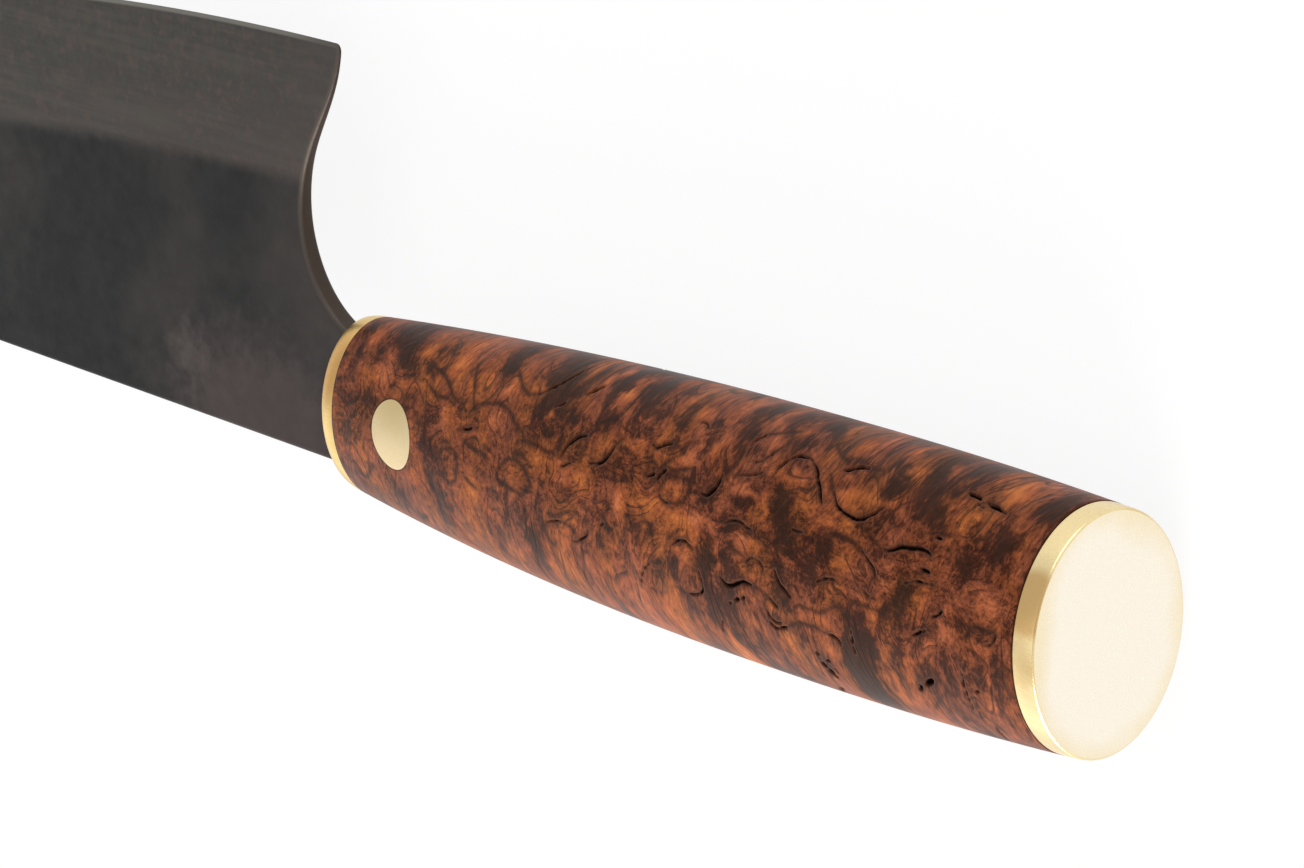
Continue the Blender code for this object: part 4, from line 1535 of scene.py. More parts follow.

# Clouds on the same side by their tone: station, angle, length and height of each. The broad one at tone
# 0.28 is painted sheen: brighter wood standing in for light on the spine side
CLOUDS = {
    -1.4: (
        (93.8, 20, 2, 2.4), (93.4, 34, 1.8, 3),
    ),
    -1.2: (
        (4.2, -77, 0.9, 1.6), (40.4, -78, 2.1, 2.6), (56.4, -5, 0.9, 1.3), (97.4, -88, 1.7, 3.4),
        (113.2, -88, 1.3, 3.6), (106.7, -50.6, 0.6, 0.5), (93.6, 8, 1.3, 1.7),
    ),
    -1.1: (
        (12.5, -75, 2.3, 2.4), (32.5, -61, 1.1, 2.2), (42.6, -66, 1.8, 2.2), (55.3, -90, 1.7, 3),
        (55.5, -73, 1.6, 2.6), (70.3, -28, 1.5, 0.9), (74.8, -18, 1.5, 1.1), (84, -27, 1.5, 1.5),
        (75.2, -5, 1.5, 1.4), (101, -15, 1.1, 1.2), (93, 47, 1.7, 2.6),
    ),
    -1.0: (
        (12.3, -90, 2.2, 2.6), (5.2, -51, 0.9, 1.3), (24.2, 7, 1.5, 2.6), (44.7, -58, 1.9, 1.7),
        (50.4, -85, 1.2, 3.4), (50.3, -36, 1.1, 1.3), (58.6, -25, 0.9, 1), (42.6, 18, 1.5, 2),
        (58.6, -61, 1.8, 1.5), (72, -64, 1.3, 1.8), (80.8, -89, 1.4, 3.4), (82, -31, 1.2, 1.3),
        (83.7, -21, 1.8, 1.1), (72, 8, 1.5, 2.6), (75.2, 13, 1.3, 2), (94, -68, 1.5, 1.7),
        (95.4, -60, 0.8, 1), (93.8, -56, 0.8, 0.6), (111, -53, 1.3, 2), (99.8, -9, 1.1, 1),
        (104.2, -1.5, 1.1, 0.8), (95.8, 14, 0.9, 1.3),
    ),
    -0.9: (
        (14.6, -48, 1.5, 1.2), (19.6, -66, 0.4, 1.1), (19.4, -51, 0.8, 0.8), (6.6, -23, 1.7, 0.9),
        (18, -29, 1.1, 1.2), (22.6, -12, 0.9, 1.3), (31.5, -90, 1.8, 3), (32, -75, 1.3, 2.2),
        (39.4, -93, 1.8, 2.8), (41.4, -47, 1.1, 1.7), (50.6, -67, 0.9, 2), (46.7, -33, 0.8, 1.6),
        (56.4, -26, 0.9, 0.7), (58, -48, 1.4, 0.5), (44.9, -10.4, 0.8, 0.4), (62, -67, 1.1, 2),
        (67.4, -64, 0.9, 1.8), (70.8, -75, 1.1, 2.2), (76, -87, 2.2, 3.4), (79.5, -66, 1.7, 1.5),
        (71.8, -34, 1.3, 1.3), (76.4, -30, 2.1, 0.6), (80.6, -18, 1.1, 0.8), (81.4, -40, 1.1, 1.1),
        (79.8, -42, 1.1, 0.9), (72.4, 20, 1.2, 2.6), (103.6, -75, 1.1, 1.7), (113.2, -73, 1.1, 2.6),
        (89.2, -54, 0.9, 0.6), (99, -55, 2, 1.7), (111.4, -42, 1.5, 1.2), (107, -34, 1.7, 1.4),
        (89.6, -22, 1.3, 1.2), (110, -5, 0.8, 0.6),
    ),
    -0.8: (
        (13.9, -60, 1.5, 2), (9.2, -54, 0.7, 0.8), (20.6, -19, 0.9, 1), (6.2, -4, 1.4, 1.8),
        (25.5, 30, 1.5, 3.4), (18.3, 41, 1, 0.6), (45, -49, 1.9, 1.1), (43.3, -38, 1.4, 0.9),
        (52, -51, 1.7, 1.1), (37.9, 5, 0.7, 1.9), (43.8, 0, 0.6, 0.8), (42, 28, 1.1, 2.2),
        (68.6, -53, 0.6, 1.7), (73.6, -54, 1.6, 1), (71.6, -91, 1.1, 2.6), (61.4, -33, 1.5, 1.1),
        (77.8, -20, 1.3, 0.5), (71.6, -3, 1.2, 1.8), (75.2, 38, 0.9, 1.4), (66.8, 4, 0.8, 1.4),
        (84.1, 0, 1.3, 1.4), (98, -75, 1.1, 1.8), (100.9, -87, 0.8, 2.8), (88.6, -66, 1.1, 0.7),
        (99, -66, 1.7, 1.5), (101.2, -50, 1.6, 1.4), (101.6, -66, 0.8, 0.5), (102.4, -48, 0.8, 0.8),
        (93.6, -37, 1.3, 1), (87.2, -11, 1, 1.4), (98.4, -3, 1.2, 0.9), (101.2, -1, 0.7, 0.5),
        (108.4, -9, 1.3, 0.4), (113.2, 6, 1.1, 1.7), (112.8, 20, 0.9, 2), (110.8, 13, 0.5, 1.2),
        (88.2, 34, 0.9, 1.4),
    ),
    -0.7: (
        (16.9, -53, 1, 1.2), (10.4, -20, 0.9, 0.9), (22.2, -24, 0.9, 0.9), (23.9, -30, 0.8, 1.2),
        (8.2, 0, 1.1, 1.4), (46.4, -80, 0.8, 3), (48.2, -12, 0.8, 0.8), (54.2, -7, 0.8, 0.8),
        (55.8, -12, 0.5, 1.1), (34.1, -17, 0.7, 0.6), (40.8, 5.4, 1.1, 0.4), (44.3, 9, 0.7, 1.3),
        (40.8, 38, 1.3, 2.2), (58.8, -79, 1.2, 1.6), (62.6, -57, 0.9, 1.1), (82.6, -78, 1.4, 1.7),
        (74.8, 27, 1, 2.2), (79, 31, 1.1, 1.8), (62.8, -7, 0.7, 1.2), (60.6, -6, 0.9, 1.2),
        (83, -10, 1.1, 1), (94.2, -89, 0.8, 2.8), (105.4, -83, 0.4, 2.6), (88, -17, 0.9, 0.9),
        (111.9, -8, 0.9, 0.4), (113, 33, 0.8, 1.8), (99.8, 13, 0.7, 1.1), (106.2, 22, 0.6, 2),
    ),
    -0.6: (
        (21.4, -50, 0.8, 0.5), (14.5, 22, 1.9, 1.8), (7.2, 33, 0.9, 1.2), (52.5, -92, 0.4, 2.4),
        (56, -61, 1, 1.2), (48.4, -47, 1.4, 0.7), (44.4, -35, 1.2, 0.6), (49.7, -27, 0.9, 0.8),
        (37.4, 14, 0.9, 0.7), (36.4, 41, 0.9, 0.5), (34.6, 28, 1, 2.8), (46.3, 36, 0.9, 0.8),
        (55.1, 25, 0.6, 0.5), (85.4, -72, 1.8, 1), (63.4, -30, 0.9, 0.9), (77, -1, 1.1, 0.6),
        (64.8, 9, 1.1, 1.4), (83.4, 6, 1.4, 0.7), (85.3, 20, 0.5, 1.6), (96.2, -40, 1.1, 0.9),
        (98.6, 24, 0.4, 1.7), (106.8, 36, 0.5, 2), (109.6, 32, 0.4, 2),
    ),
    -0.5: (
        (16, 31, 1, 1.6), (24.6, -19, 0.7, 0.7), (45.7, 22, 0.4, 1.3), (50, 33, 0.4, 2),
        (54.9, 6, 0.5, 0.9), (66.4, -35, 1.6, 0.5),
    ),
    -0.4: (
        (113.6, -20, 0.6, 0.8),
    ),
    -0.35: (
        (102, 12, 5.5, 9),
    ),
    # Painted sheen on the spine side, not a tone of the wood
    0.28: (
        (34, 42, 18, 6.5),
    ),
    0.3: (
        (67, 22, 2.6, 2.2),
    ),
    0.35: (
        (6.5, -90, 2.2, 2.6),
    ),
    0.4: (
        (64.4, -90, 1.4, 3.4), (60.6, 30, 2.2, 2.4), (91, 36, 0.8, 2.4),
    ),
    0.45: (
        (25.8, -86, 2.8, 3.4), (36.6, -85, 1.6, 2.8),
    ),
    0.5: (
        (21.4, -30, 0.9, 0.7), (8.8, 10, 1.9, 0.7), (17.2, -84, 1.3, 3), (57.4, -86, 0.9, 3.2),
        (39.5, -9, 1.2, 0.9), (48.6, 11, 1.7, 1.7), (38, 33, 1.5, 0.9), (47.4, 28, 0.9, 1.2),
        (65, 0, 1.1, 0.8), (76.2, -64, 0.9, 1), (103, 34, 1.1, 1.2), (100.4, 44, 0.5, 2.2),
    ),
    0.6: (
        (19, 12, 1.4, 1.4), (8.5, 20, 1, 1.2), (44.3, -31.5, 0.9, 0.3), (44.3, -75, 0.6, 3),
        (38, -22, 1.3, 0.8), (40, 1.5, 0.8, 0.5), (56, 17, 1.5, 1.3), (51.8, 22, 1.1, 1),
        (44.8, 28, 0.5, 2), (60.4, -63, 0.25, 1.2), (65.6, -57, 1.2, 0.8), (79.3, -3, 0.8, 0.6),
        (85.8, -51, 0.7, 0.9), (96.4, -53, 0.6, 0.9), (105.9, -26, 0.8, 0.7), (89.4, 9, 1.8, 1),
    ),
    0.7: (
        (16.6, -33, 1.2, 1), (20.4, -6, 0.8, 1.7), (6.3, -28, 0.6, 0.5), (54.3, -58, 0.6, 1.2),
        (31.5, 7, 1.8, 2), (62, -52, 1, 0.6), (78, -76, 0.9, 0.6), (83, 28, 1.2, 1.2), (73.2, 44, 0.7, 2.4),
        (89.2, -89, 1.1, 3.2), (104.8, -86, 0.5, 2.6), (107.2, -92, 1.5, 3), (110.4, -91, 0.9, 3.2),
        (106, -55, 1.5, 0.8), (105.4, -48, 1.1, 0.5), (91.6, -20, 1.2, 0.8), (111.4, 0, 0.9, 0.5),
        (100.8, 6, 1.3, 0.3), (98, 32, 0.5, 2.6), (97.4, 18, 0.4, 1.2), (89.4, 22, 0.6, 1.1),
    ),
    0.8: (
        (7.1, -62, 1.4, 1.3), (9, -38, 1.7, 1.2), (26.6, -50, 1.3, 1), (26, -25, 0.9, 0.8), (28, 6, 0.8, 1),
        (38.7, -56, 0.9, 0.7), (53.2, -78, 0.3, 2.6), (57.4, -52, 0.8, 0.7), (68.5, -88, 1, 2.6),
        (83.2, -91, 0.7, 2.8), (64.5, -69, 1.1, 0.7), (73.6, -15, 1.1, 0.9), (73.7, 5, 0.25, 1.7),
        (77.2, -7.5, 0.6, 0.5), (85.6, -35, 1.5, 1.2), (79.9, 37, 0.3, 2.2), (107.6, -18, 0.9, 0.9),
        (106.2, -4, 1.1, 0.7),
    ),
    0.9: (
        (17.6, -64, 0.9, 1.5), (19.9, -40, 1.9, 0.9), (25.4, -31, 1, 0.9), (34.8, -70, 1, 1.5),
        (39.8, -41, 1.3, 1.3), (34.4, -33, 2.2, 1.2), (52.9, -38, 1.1, 1), (65.7, -28, 1.1, 0.6),
        (78, -15, 1.5, 0.8), (81.1, -74, 1.1, 1.2), (82.3, 10, 0.6, 0.5), (77.8, 20, 0.8, 1.1),
        (111.4, -64, 0.8, 1.7), (114, -44, 0.8, 2.4), (112, -19, 2.2, 1.4), (98.4, -16, 1.1, 0.7),
        (112, 11, 0.25, 1.2), (111.4, 28, 0.6, 1.4),
    ),
    1.0: (
        (30.2, -52, 1.1, 1.8), (51, -20, 1.4, 1.1), (57.8, -41.5, 1.3, 0.7), (61.3, -89, 0.6, 3.4),
        (61, -73, 0.3, 2.6), (66, -42, 2, 0.8), (76.6, -37, 1.9, 0.6), (61.6, -18, 2.2, 1),
        (66, -15, 2.2, 1), (70, -15.5, 2.2, 1.2), (68.4, 2.6, 0.6, 0.7), (82, -47, 1.7, 1),
        (85, -24, 0.7, 0.3), (92.8, -87, 0.6, 2.6), (99.7, -80, 0.7, 1.5), (93.8, -51, 1.1, 0.4),
        (90.2, -35, 2.2, 0.7), (101.4, 15, 0.7, 0.6),
    ),
    1.1: (
        (11.9, -43, 1.5, 1.9), (24.9, -61, 1.3, 1.4), (35, -53, 2.2, 1.1), (43.6, -23, 1.8, 0.9),
        (47.7, -18, 1.1, 0.9), (48.1, -77, 0.5, 2.6), (51.8, -74, 0.35, 2.8), (57.7, -14, 1.4, 1.5),
        (79.8, -35, 0.8, 1.4), (73.6, -30, 0.8, 0.6), (108, -76, 1.6, 1.4), (90.8, -48, 1.9, 1),
        (96.2, -1, 0.6, 0.8),
    ),
    1.2: (
        (74, -7, 0.45, 1.2), (95.8, -70, 1.1, 1), (103.2, -12, 0.9, 1.2),
    ),
    1.3: (
        (52.3, -64, 0.6, 1), (69.9, -57, 0.7, 2), (68.2, -3, 1.1, 0.6), (104.2, 9, 0.8, 0.9),
    ),
    1.4: (
        (73.6, -81, 0.9, 2.6),
    ),
    1.5: (
        (43.3, -44, 0.6, 0.6),
    ),
}


@dataclass
class HandleBody(Piece):
    """The burl wood between the two brass plates."""

    front: float = -2.73 * MM
    rear: float = -115.36 * MM
    spacing: float = 0.56 * MM
    points_round: int = 141
    fine_reach: float = 0.75 * MM
    finer_reach: float = 0.42 * MM
    end_margin: float = 0.01 * MM
    seen_angles: tuple[float, float] = (-112.0, 62.0)
    hidden_fissures: int = 70
    hidden_clouds: int = 330
    cloud_waver: float = 0.9
    cloud_fall: float = 0.8
    cloud_limit: float = 1.3
    mean_radius: float = 12.5
    line_step: float = 0.12 * MM
    line_taper: float = 0.45
    flutter_pitch: float = 1.9
    waver_pitch: float = 0.9
    waver: float = 0.16 * MM
    rim_depth: float = 0.15
    crack_depth: float = 2.6
    soft_rim: float = 0.1 * MM
    seed: int = 11

    def smooth_path(self, path: Sequence[tuple[float, float]]) -> list[Vector]:
        """Draws a smooth line through points of the surface.

        Args:
            path: (station, angle) of each point.

        Returns:
            Places along the line, on the surface.
        """
        ends = [path[0], *path, path[-1]]
        line = []
        for place in range(1, len(ends) - 2):
            before, start, end, after = (Vector(ends[place + shift]) for shift in (-1, 0, 1, 2))
            chord = self.form.point(*start) - self.form.point(*end)
            count = max(int(chord.length / self.line_step), 2)
            for part in range(count):
                t = part / count
                spot = 0.5 * (
                    2 * start
                    + (end - before) * t
                    + (2 * before - 5 * start + 4 * end - after) * t * t
                    + (3 * start - before - 3 * end + after) * t**3
                )
                line.append(self.form.point(*spot))
        line.append(self.form.point(*path[-1]))
        return line

    def draw_lines(self, name: str, fissures: Iterable[Fissure]) -> bpy.types.Object:
        """Makes an object whose edges follow the fissures, with a half width for each point.

        Args:
            name: the object's name.
            fissures: the lines.

        Returns:
            The object, in the knife's axes.
        """
        places: list[Vector] = []
        edges: list[tuple[int, int]] = []
        widths: list[float] = []
        for number, fissure in enumerate(fissures):
            line = self.smooth_path(fissure.path)
            first = len(places)
            for place, point in enumerate(line):
                share = place / (len(line) - 1)
                swell = math.sin(math.pi * share) ** self.line_taper
                # Each line has its own part of the noises
                flutter = noise.noise(point / MM * self.flutter_pitch + Vector((0.0, 0.0, 7.1 * number)))
                narrowing = 1 - fissure.broken * max(0.35 + 1.1 * flutter, 0.0) * 1.6
                widths.append(0.5 * fissure.width * MM * swell * narrowing)
                waver = noise.noise_vector(point / MM * self.waver_pitch + Vector((0.0, 0.0, 3.0 * number)))
                places.append(point + waver * self.waver)
                if place:
                    edges.append((first + place - 1, first + place))
        mesh = bpy.data.meshes.new(name)
        mesh.from_pydata(places, edges, [])
        store(mesh, "half_width", widths)
        obj = new_object(name, mesh)
        obj.hide_render = True
        return obj

    def hidden_lines(self, source: random.Random) -> list[Fissure]:
        """Draws fissures for the side that the photograph doesn't show, in the same manner.

        Args:
            source: random numbers.

        Returns:
            The fissures.
        """
        lines = []
        for _ in range(self.hidden_fissures):
            station = source.uniform(6.0, 112.0)
            angle = source.uniform(self.seen_angles[1] + 4, 360 + self.seen_angles[0] - 4)
            heading = source.uniform(0.0, 2 * math.pi)
            if abs(math.cos(math.radians(angle))) < 0.6:
                heading = source.gauss(math.pi / 2, 0.35)
            bend = source.choice((-1, 1)) * source.uniform(0.1, 0.9)
            length = source.uniform(1.6, 6.5)
            path = []
            for _ in range(4):
                path.append((station, angle))
                station += length / 3 * math.cos(heading)
                angle += math.degrees(length / 3 * math.sin(heading) / self.mean_radius)
                heading += bend
            lines.append(Fissure(source.uniform(0.18, 0.46), source.uniform(0.2, 0.9), path))
        return lines

    def refine(self, mesh: bpy.types.Mesh, cracks: bpy.types.Object, rims: bpy.types.Object) -> None:
        """Makes the mesh finer near the lines, and finest at the cracks.

        Args:
            mesh: the wood's surface.
            cracks: the object whose points mark the cracks.
            rims: the object whose points mark the eyes' rims.
        """
        shape = bmesh.new()
        shape.from_mesh(mesh)
        for reach, lines in ((self.fine_reach, (cracks, rims)), (self.finer_reach, (cracks,))):
            nearest = nearest_of([vertex.co for obj in lines for vertex in obj.data.vertices])
            near = [vertex for vertex in shape.verts if nearest.find(vertex.co)[2] < reach]
            # Dicts keep the mesh's order, so each run gives the same mesh
            faces = dict.fromkeys(face for spot in near for face in spot.link_faces if len(face.verts) < 9)
            edges = dict.fromkeys(edge for face in faces for edge in face.edges)
            bmesh.ops.subdivide_edges(shape, edges=list(edges), cuts=1, use_grid_fill=True)
        for vertex in shape.verts:
            if self.rear + self.end_margin < vertex.co.x < self.front - self.end_margin:
                half = self.form.half_section(vertex.co.x)
                centre = self.form.centre(vertex.co.x)
                size = math.hypot((vertex.co.y - centre) / half.y, vertex.co.z / half.z)
                vertex.co.y = centre + (vertex.co.y - centre) / size
                vertex.co.z /= size
        filled(mesh, shape, smooth=True)

    def cloud_values(self, mesh: bpy.types.Mesh, source: random.Random) -> np.ndarray:
        """Tone of the clouds at each vertex.

        Args:
            mesh: the wood's surface.
            source: random numbers for the hidden side.

        Returns:
            A number for each vertex, about -1 to 1.
        """
        clouds = [Cloud(*row, tone) for tone, rows in CLOUDS.items() for row in rows]
        for _ in range(self.hidden_clouds):
            angle = source.uniform(self.seen_angles[1] - 4, 360 + self.seen_angles[0] + 8)
            drawn = 1 + 1.4 * abs(math.sin(math.radians(angle)))
            spread = source.choice((0.6, 0.8, 1.0, 1.9))
            station = source.uniform(2.0, 116.0)
            length = source.uniform(0.5, 1.6) * spread
            height = source.uniform(0.6, 1.6) * drawn * spread
            tone = source.choice((-1, -1, 1)) * source.uniform(0.4, 0.9)
            clouds.append(Cloud(station, angle, length, height, tone))
        points = np.array([vertex.co for vertex in mesh.vertices])
        warp = sum(
            strength * np.array([noise.noise_vector(Vector(point) / MM * pitch) for point in points])
            for pitch, strength in ((0.5, 1.0), (1.3, 0.4))
        )
        half = np.array([self.form.half_section(x) for x in points[:, 0]])
        centre = np.array([self.form.centre(x) for x in points[:, 0]])
        turn = np.arctan2((points[:, 1] - centre) / half[:, 1], points[:, 2] / half[:, 2])
        girth = (half[:, 1] + half[:, 2]) / 2 / MM
        station = -points[:, 0] / MM + self.cloud_waver * warp[:, 0]
        values = np.zeros(len(points))
        for cloud in clouds:
            away = (turn - math.radians(cloud.angle) + math.pi) % (2 * math.pi) - math.pi
            across = (away * girth + self.cloud_waver * warp[:, 1]) / cloud.height
            along = (station - cloud.station) / cloud.length
            values += cloud.tone * np.exp(-self.cloud_fall * (along**2 + across**2))
        return np.clip(values, -self.cloud_limit, self.cloud_limit)

    def build(self, wood: bpy.types.Material) -> bpy.types.Object:
        """Builds the wood with its fissures, and dresses it.

        Args:
            wood: the finish.

        Returns:
            The piece, in its place.
        """
        source = random.Random(self.seed)
        sizes = {"front": self.front, "rear": self.rear, "points_round": self.points_round}
        sizes["rows"] = int((self.front - self.rear) / self.spacing)
        mesh = self.ovals.sweep("burl_handle", wood, **sizes)
        fissures, eye_rims = (
            [Fissure(width, broken, list(zip(path[::2], path[1::2]))) for width, broken, *path in rows]
            for rows in (FISSURES, EYE_RIMS)
        )
        cracks = self.draw_lines("fissure_lines", fissures + self.hidden_lines(source))
        rims = self.draw_lines("eye_rim_lines", eye_rims)
        self.refine(mesh, cracks, rims)
        cutter = FissureTree()
        for lines, attribute, depth in (
            (rims, "line_gap", self.rim_depth),
            (cracks, "crack_gap", self.crack_depth),
        ):
            inputs = {"lines": lines, "attribute": attribute, "depth_per_width": depth}
            surface = new_object("burl_handle", mesh)
            mesh = cutter.run(surface, soft_rim=self.soft_rim, material=wood, **inputs)
        store(mesh, "cloud", self.cloud_values(mesh, source))
        for lines in (cracks, rims):
            bpy.data.objects.remove(lines)
        return new_object("burl_handle", self.axes.settle(mesh))


# Brass fittings


@dataclass
class FrontBolster(Piece):
    """The brass plate between blade and wood, slotted for the tang."""

    thickness: float = 2.7 * MM
    rounding: float = 0.35 * MM
    rear_rounding: float = 0.08 * MM
    crown: float = 0.2 * MM
    slot_height: float = 13.8 * MM
    slot_width: float = 2.6 * MM
    slot_drop: float = 1.0 * MM

    def build(self, brass: bpy.types.Material) -> bpy.types.Object:
        """Builds the plate, and dresses it.

        Args:
            brass: the finish.

        Returns:
            The piece, in its place.
        """
        sizes = {"front": 0.0, "rear": -self.thickness, "rows": 41, "points_round": 241, "ends_crowd": 1.0}
        sizes |= {"front_rounding": self.rounding, "rear_rounding": self.rear_rounding, "crown": self.crown}
        plate = new_object("bolster_plate", self.ovals.sweep("bolster_plate", brass, **sizes))
        slot = bmesh.new()
        size = Matrix.Diagonal((4 * self.thickness, self.slot_height, self.slot_width, 1.0))
        bmesh.ops.create_cube(slot, size=1.0, matrix=Matrix.Translation((0.0, -self.slot_drop, 0.0)) @ size)
        cutter = new_object("tang_slot", filled("tang_slot", slot))
        cut = plate.modifiers.new("slot", "BOOLEAN")
        cut.operation = "DIFFERENCE"
        cut.object = cutter
        mesh = baked(plate, "bolster_plate")
        bpy.data.objects.remove(cutter)
        mesh.set_sharp_from_angle(angle=math.radians(50))
        return new_object("bolster_plate", self.axes.settle(mesh))


@dataclass
class EndCap(Piece):
    """The brass plate on the butt, its face lapped flat."""

    thickness: float = 2.6 * MM
    front_rounding: float = 0.06 * MM
    rounding: float = 0.25 * MM
    crown: float = 0.03 * MM

    def build(self, brass: bpy.types.Material) -> bpy.types.Object:
        """Builds the plate, and dresses it.

        Args:
            brass: the finish.

        Returns:
            The piece, in its place.
        """
        rear = -self.form.length
        sizes = {"front": rear + self.thickness, "rear": rear, "rows": 41, "points_round": 281}
        sizes |= {"front_rounding": self.front_rounding, "rear_rounding": self.rounding}
        mesh = self.ovals.sweep("butt_plate", brass, ends_crowd=1.0, crown=self.crown, **sizes)
        return new_object("butt_plate", self.axes.settle(mesh))


@dataclass
class CrossPin(Piece):
    """The brass pin through wood and tang, dressed to the handle's surface on both sides."""

    diameter: float = 8.0 * MM
    x: float = -15.6 * MM
    y: float = -1.6 * MM
    proud: float = 0.02 * MM
    rim_sink: float = 0.03 * MM
    rings: int = 9
    points_round: int = 96

    def build(self, brass: bpy.types.Material) -> bpy.types.Object:
        """Builds the pin, and dresses it.

        Args:
            brass: the finish.

        Returns:
            The piece, in its place.
        """
        shape = bmesh.new()
        sides = []
        for side in (1.0, -1.0):
            rings = []
            for ring in range(1, self.rings + 1):
                radius = self.diameter / 2 * math.sin(math.pi / 2 * ring / self.rings)
                sink = self.rim_sink if ring == self.rings else 0.0
                points = []
                for step in range(self.points_round):
                    turn = 2 * math.pi * step / self.points_round
                    x = self.x + radius * math.cos(turn)
                    y = self.y + radius * math.sin(turn)
                    z = side * (self.form.height_at(x, y) + self.proud - sink)
                    points.append(shape.verts.new((x, y, z)))
                rings.append(points)
            top = self.form.height_at(self.x, self.y) + self.proud
            middle = shape.verts.new((self.x, self.y, side * top))
            for step in range(self.points_round):
                after = (step + 1) % self.points_round
                shape.faces.new((middle, rings[0][step], rings[0][after]))
                for ring, following in zip(rings, rings[1:]):
                    shape.faces.new((ring[step], following[step], following[after], ring[after]))
            sides.append(rings[-1])
        for step in range(self.points_round):
            after = (step + 1) % self.points_round
            shape.faces.new((sides[0][step], sides[0][after], sides[1][after], sides[1][step]))
        bmesh.ops.recalc_face_normals(shape, faces=shape.faces)
        mesh = filled("flush_pin", shape, smooth=True)
        mesh.set_sharp_from_angle(angle=math.radians(50))
        mesh.materials.append(brass)
        return new_object("flush_pin", self.axes.settle(mesh))


# Studio


@dataclass
class Studio:
    """Floor, world, lamps and the camera.

    Args:
        axes: the knife's axes.
        eye_mm: the camera's place in the knife's axes.
        aim_mm: what it looks at, on the blade's middle plane.
        roll: its turn about the line of sight, with the edge side up in the picture.
        lens: focal length in mm on a 36 mm wide sensor.
    """

    axes: KnifeAxes
    eye_mm: tuple[float, float, float] = (-388.617, -153.78, 289.218)
    aim_mm: tuple[float, float, float] = (-50.66, -7.38, 0.0)
    roll: float = 2.31
    lens: float = 119.35
    floor_radius: float = 2.2
    floor_curve: float = 0.7
    wall_height: float = 1.4
    curve_steps: int = 12
    steps_round: int = 96
    floor_glow: float = 0.9
    paper: float = 0.9
    ambient: float = 0.75

    def camera(self) -> None:
        """Sets the camera at the photograph's viewing angle."""
        eye = Vector(self.eye_mm) * MM
        forward = (Vector(self.aim_mm) * MM - eye).normalized()
        right = forward.cross(Vector((0.0, -1.0, 0.0))).normalized()
        up = right.cross(forward)
        turn = Quaternion(forward, math.radians(self.roll))
        columns = [turn @ right, turn @ up, -forward]
        pose = Matrix(columns).transposed().to_4x4()
        pose.translation = self.axes.origin + eye
        data = bpy.data.cameras.new("photo_camera")
        data.sensor_fit = "HORIZONTAL"
        data.sensor_width = 36.0
        data.lens = self.lens
        data.clip_start = 0.01
        data.clip_end = 20.0
        camera = new_object("photo_camera", data)
        camera.matrix_world = pose
        bpy.context.scene.camera = camera

    def floor(self) -> None:
        """Lays a white floor that rises to a wall all round, and keeps part of the knife's shadow."""
        profile = [Vector((self.floor_radius, 0.0, 0.0))]
        for step in range(1, self.curve_steps + 1):
            turn = math.pi / 2 * step / self.curve_steps
            out = self.floor_radius + self.floor_curve * math.sin(turn)
            profile.append(Vector((out, 0.0, self.floor_curve * (1 - math.cos(turn)))))
        profile.append(Vector((self.floor_radius + self.floor_curve, 0.0, self.wall_height)))
        shape = bmesh.new()
        steps = range(self.steps_round)
        turns = [Quaternion((0.0, 0.0, 1.0), 2 * math.pi * step / self.steps_round) for step in steps]
        rings = [[shape.verts.new(turn @ point) for turn in turns] for point in profile]
        shape.faces.new(rings[0])
        for ring, outer in zip(rings, rings[1:]):
            for place in steps:
                after = (place + 1) % self.steps_round
                shape.faces.new((ring[after], ring[place], outer[place], outer[after])).smooth = True
        mesh = filled("floor", shape)
        paper, add, _ = Finish("white_paper").start(Vector())
        path = add("ShaderNodeLightPath").outputs
        seen = path["Is Camera Ray"]
        for other in ("Is Glossy Ray", "Is Transmission Ray"):
            seen = add(MATH, (seen, path[other]), operation="MAXIMUM")
        glow = add(MATH, (seen, self.floor_glow), operation="MULTIPLY")
        matt = add("ShaderNodeBsdfDiffuse", {"Color": (self.paper, self.paper, self.paper, 1.0)})
        mixed = add("ShaderNodeMixShader", (glow, matt, add("ShaderNodeEmission")))
        add(OUTPUT, {"Surface": mixed})
        mesh.materials.append(paper)
        new_object("floor", mesh)

    def world(self) -> None:
        """Lights evenly from above."""
        world = bpy.data.worlds.new("studio")
        bpy.context.scene.world = world
        world.use_nodes = True
        background = world.node_tree.nodes["Background"]
        background.inputs["Color"].default_value = (1.0, 1.0, 1.0, 1.0)
        background.inputs["Strength"].default_value = self.ambient

    def lamp(self, name: str, place: tuple[float, float, float], size: float, power: float) -> None:
        """Hangs a soft square lamp that faces the handle.

        Args:
            name: the lamp's name.
            place: its place from the handle's middle, in metres.
            size: its side in metres.
            power: its power in watts.
        """
        data = bpy.data.lights.new(name, "AREA")
        data.shape = "SQUARE"
        data.size = size
        data.energy = power
        lamp = new_object(name, data)
        lamp.location = Vector(place)
        lamp.rotation_mode = "QUATERNION"
        lamp.rotation_quaternion = (-Vector(place)).to_track_quat("-Z", "Y")

    def build(self) -> None:
        """Sets up the whole studio."""
        bpy.context.scene.view_settings.view_transform = "Standard"
        self.camera()
        self.floor()
        self.world()
        self.lamp("overhead_softbox", (0.2, 0.2, 1.5), 1.2, 2.0)
        self.lamp("tip_side_softbox", (0.8, 0.85, 0.42), 1.3, 2.6)
        self.lamp("spine_side_softbox", (-0.5, 1.1, 0.4), 0.9, 21.5)
        self.lamp("edge_side_softbox", (-0.2, -1.1, 0.4), 0.9, 4.5)


# Assembly


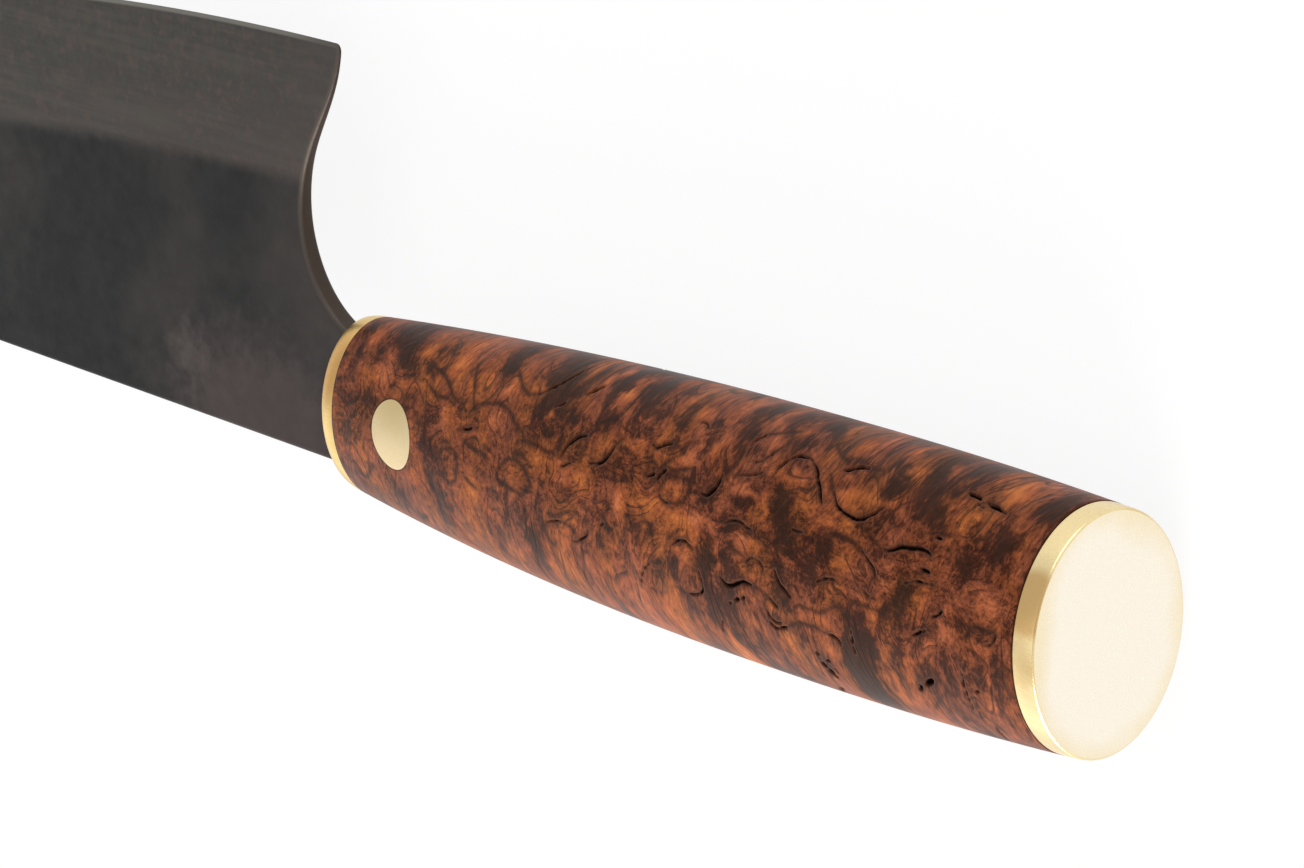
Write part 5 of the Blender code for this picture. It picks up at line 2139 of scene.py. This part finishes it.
@dataclass
class Knife:
    """The whole knife: pieces that show, and the solids inside the handle."""

    axes: KnifeAxes = field(default_factory=KnifeAxes.from_frame)
    form: HandleForm = field(default_factory=HandleForm)

    def put(self, piece: bpy.types.Object, node: str) -> None:
        """Lets a piece stand for a solid and ride on its body.

        Args:
            piece: the finished piece.
            node: the solid that it stands for.
        """
        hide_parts(node)
        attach(piece, BODY)
        log.info("%s stands for %s: %d faces", piece.name, node, len(piece.data.polygons))

    def dress_solid(self, node: str, material: bpy.types.Material) -> None:
        """Gives a carried-over solid its finish.

        Args:
            node: the solid.
            material: the finish.
        """
        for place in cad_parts[node].material_slots:
            place.material = material
        log.info("%s keeps its solid", node)

    def build(self) -> None:
        """Builds and dresses every piece."""
        origin = self.axes.origin
        steel = ForgedSteel().make(origin)
        # Name, colour, dull colour, and the place and reach of the painted shade of each brass
        bolster_brass, cap_brass, pin_brass = (
            SatinBrass(*looks, **more).make(origin)
            for looks, more in (
                (("satin_bolster_brass", "#e6c783", "#cf9f60", (-2.0, -6.5, 6.0), (2.5, 6.5)), {}),
                (
                    ("lapped_cap_brass", "#f3dfab", "#cba368", (-116.8, -7.4, 9.8), (2.6, 4.0)),
                    # The cap's face colour is a painted bright reflection
                    {"face": "#fbf2e2", "scratch_turn": 28.0},
                ),
                (
                    ("dressed_pin_brass", "#dfcba2", "#d2ba84", (-15.6, -6.5, 9.0), (1.0, 6.0)),
                    {"roughness": 0.42, "scratch_turn": 90.0},
                ),
            )
        )
        dowel_brass = SatinBrass("drawn_dowel_brass", "#d9b768").make(origin)
        wood = StabilisedBurl(
            ends=(HandleBody.rear / MM, HandleBody.front / MM),
            pin=(CrossPin.x / MM, CrossPin.y / MM, CrossPin.diameter / 2 / MM),
        ).make(origin)
        shared = (self.axes, self.form, OvalTree(self.form))
        for maker, finish, node, slot in (
            (Blade, steel, "blade", Slot.STEEL),
            (FrontBolster, bolster_brass, "front_bolster", Slot.PLATE),
            (HandleBody, wood, "handle_body", Slot.WOOD),
            (CrossPin, pin_brass, "cross_pin", Slot.PIN),
            (EndCap, cap_brass, "end_cap", Slot.PLATE),
        ):
            self.put(maker(*shared).build(finish), node)
        self.dress_solid("tang_bedding", CuredEpoxy().make(origin))
        self.dress_solid("cap_dowel_spine", dowel_brass)
        self.dress_solid("cap_dowel_edge", dowel_brass)


def main() -> None:
    """Builds the knife and its studio."""
    logging.basicConfig(level=logging.INFO, format="%(name)s: %(message)s")
    knife = Knife()
    knife.build()
    Studio(knife.axes).build()


if __name__ == "__main__":
    main()
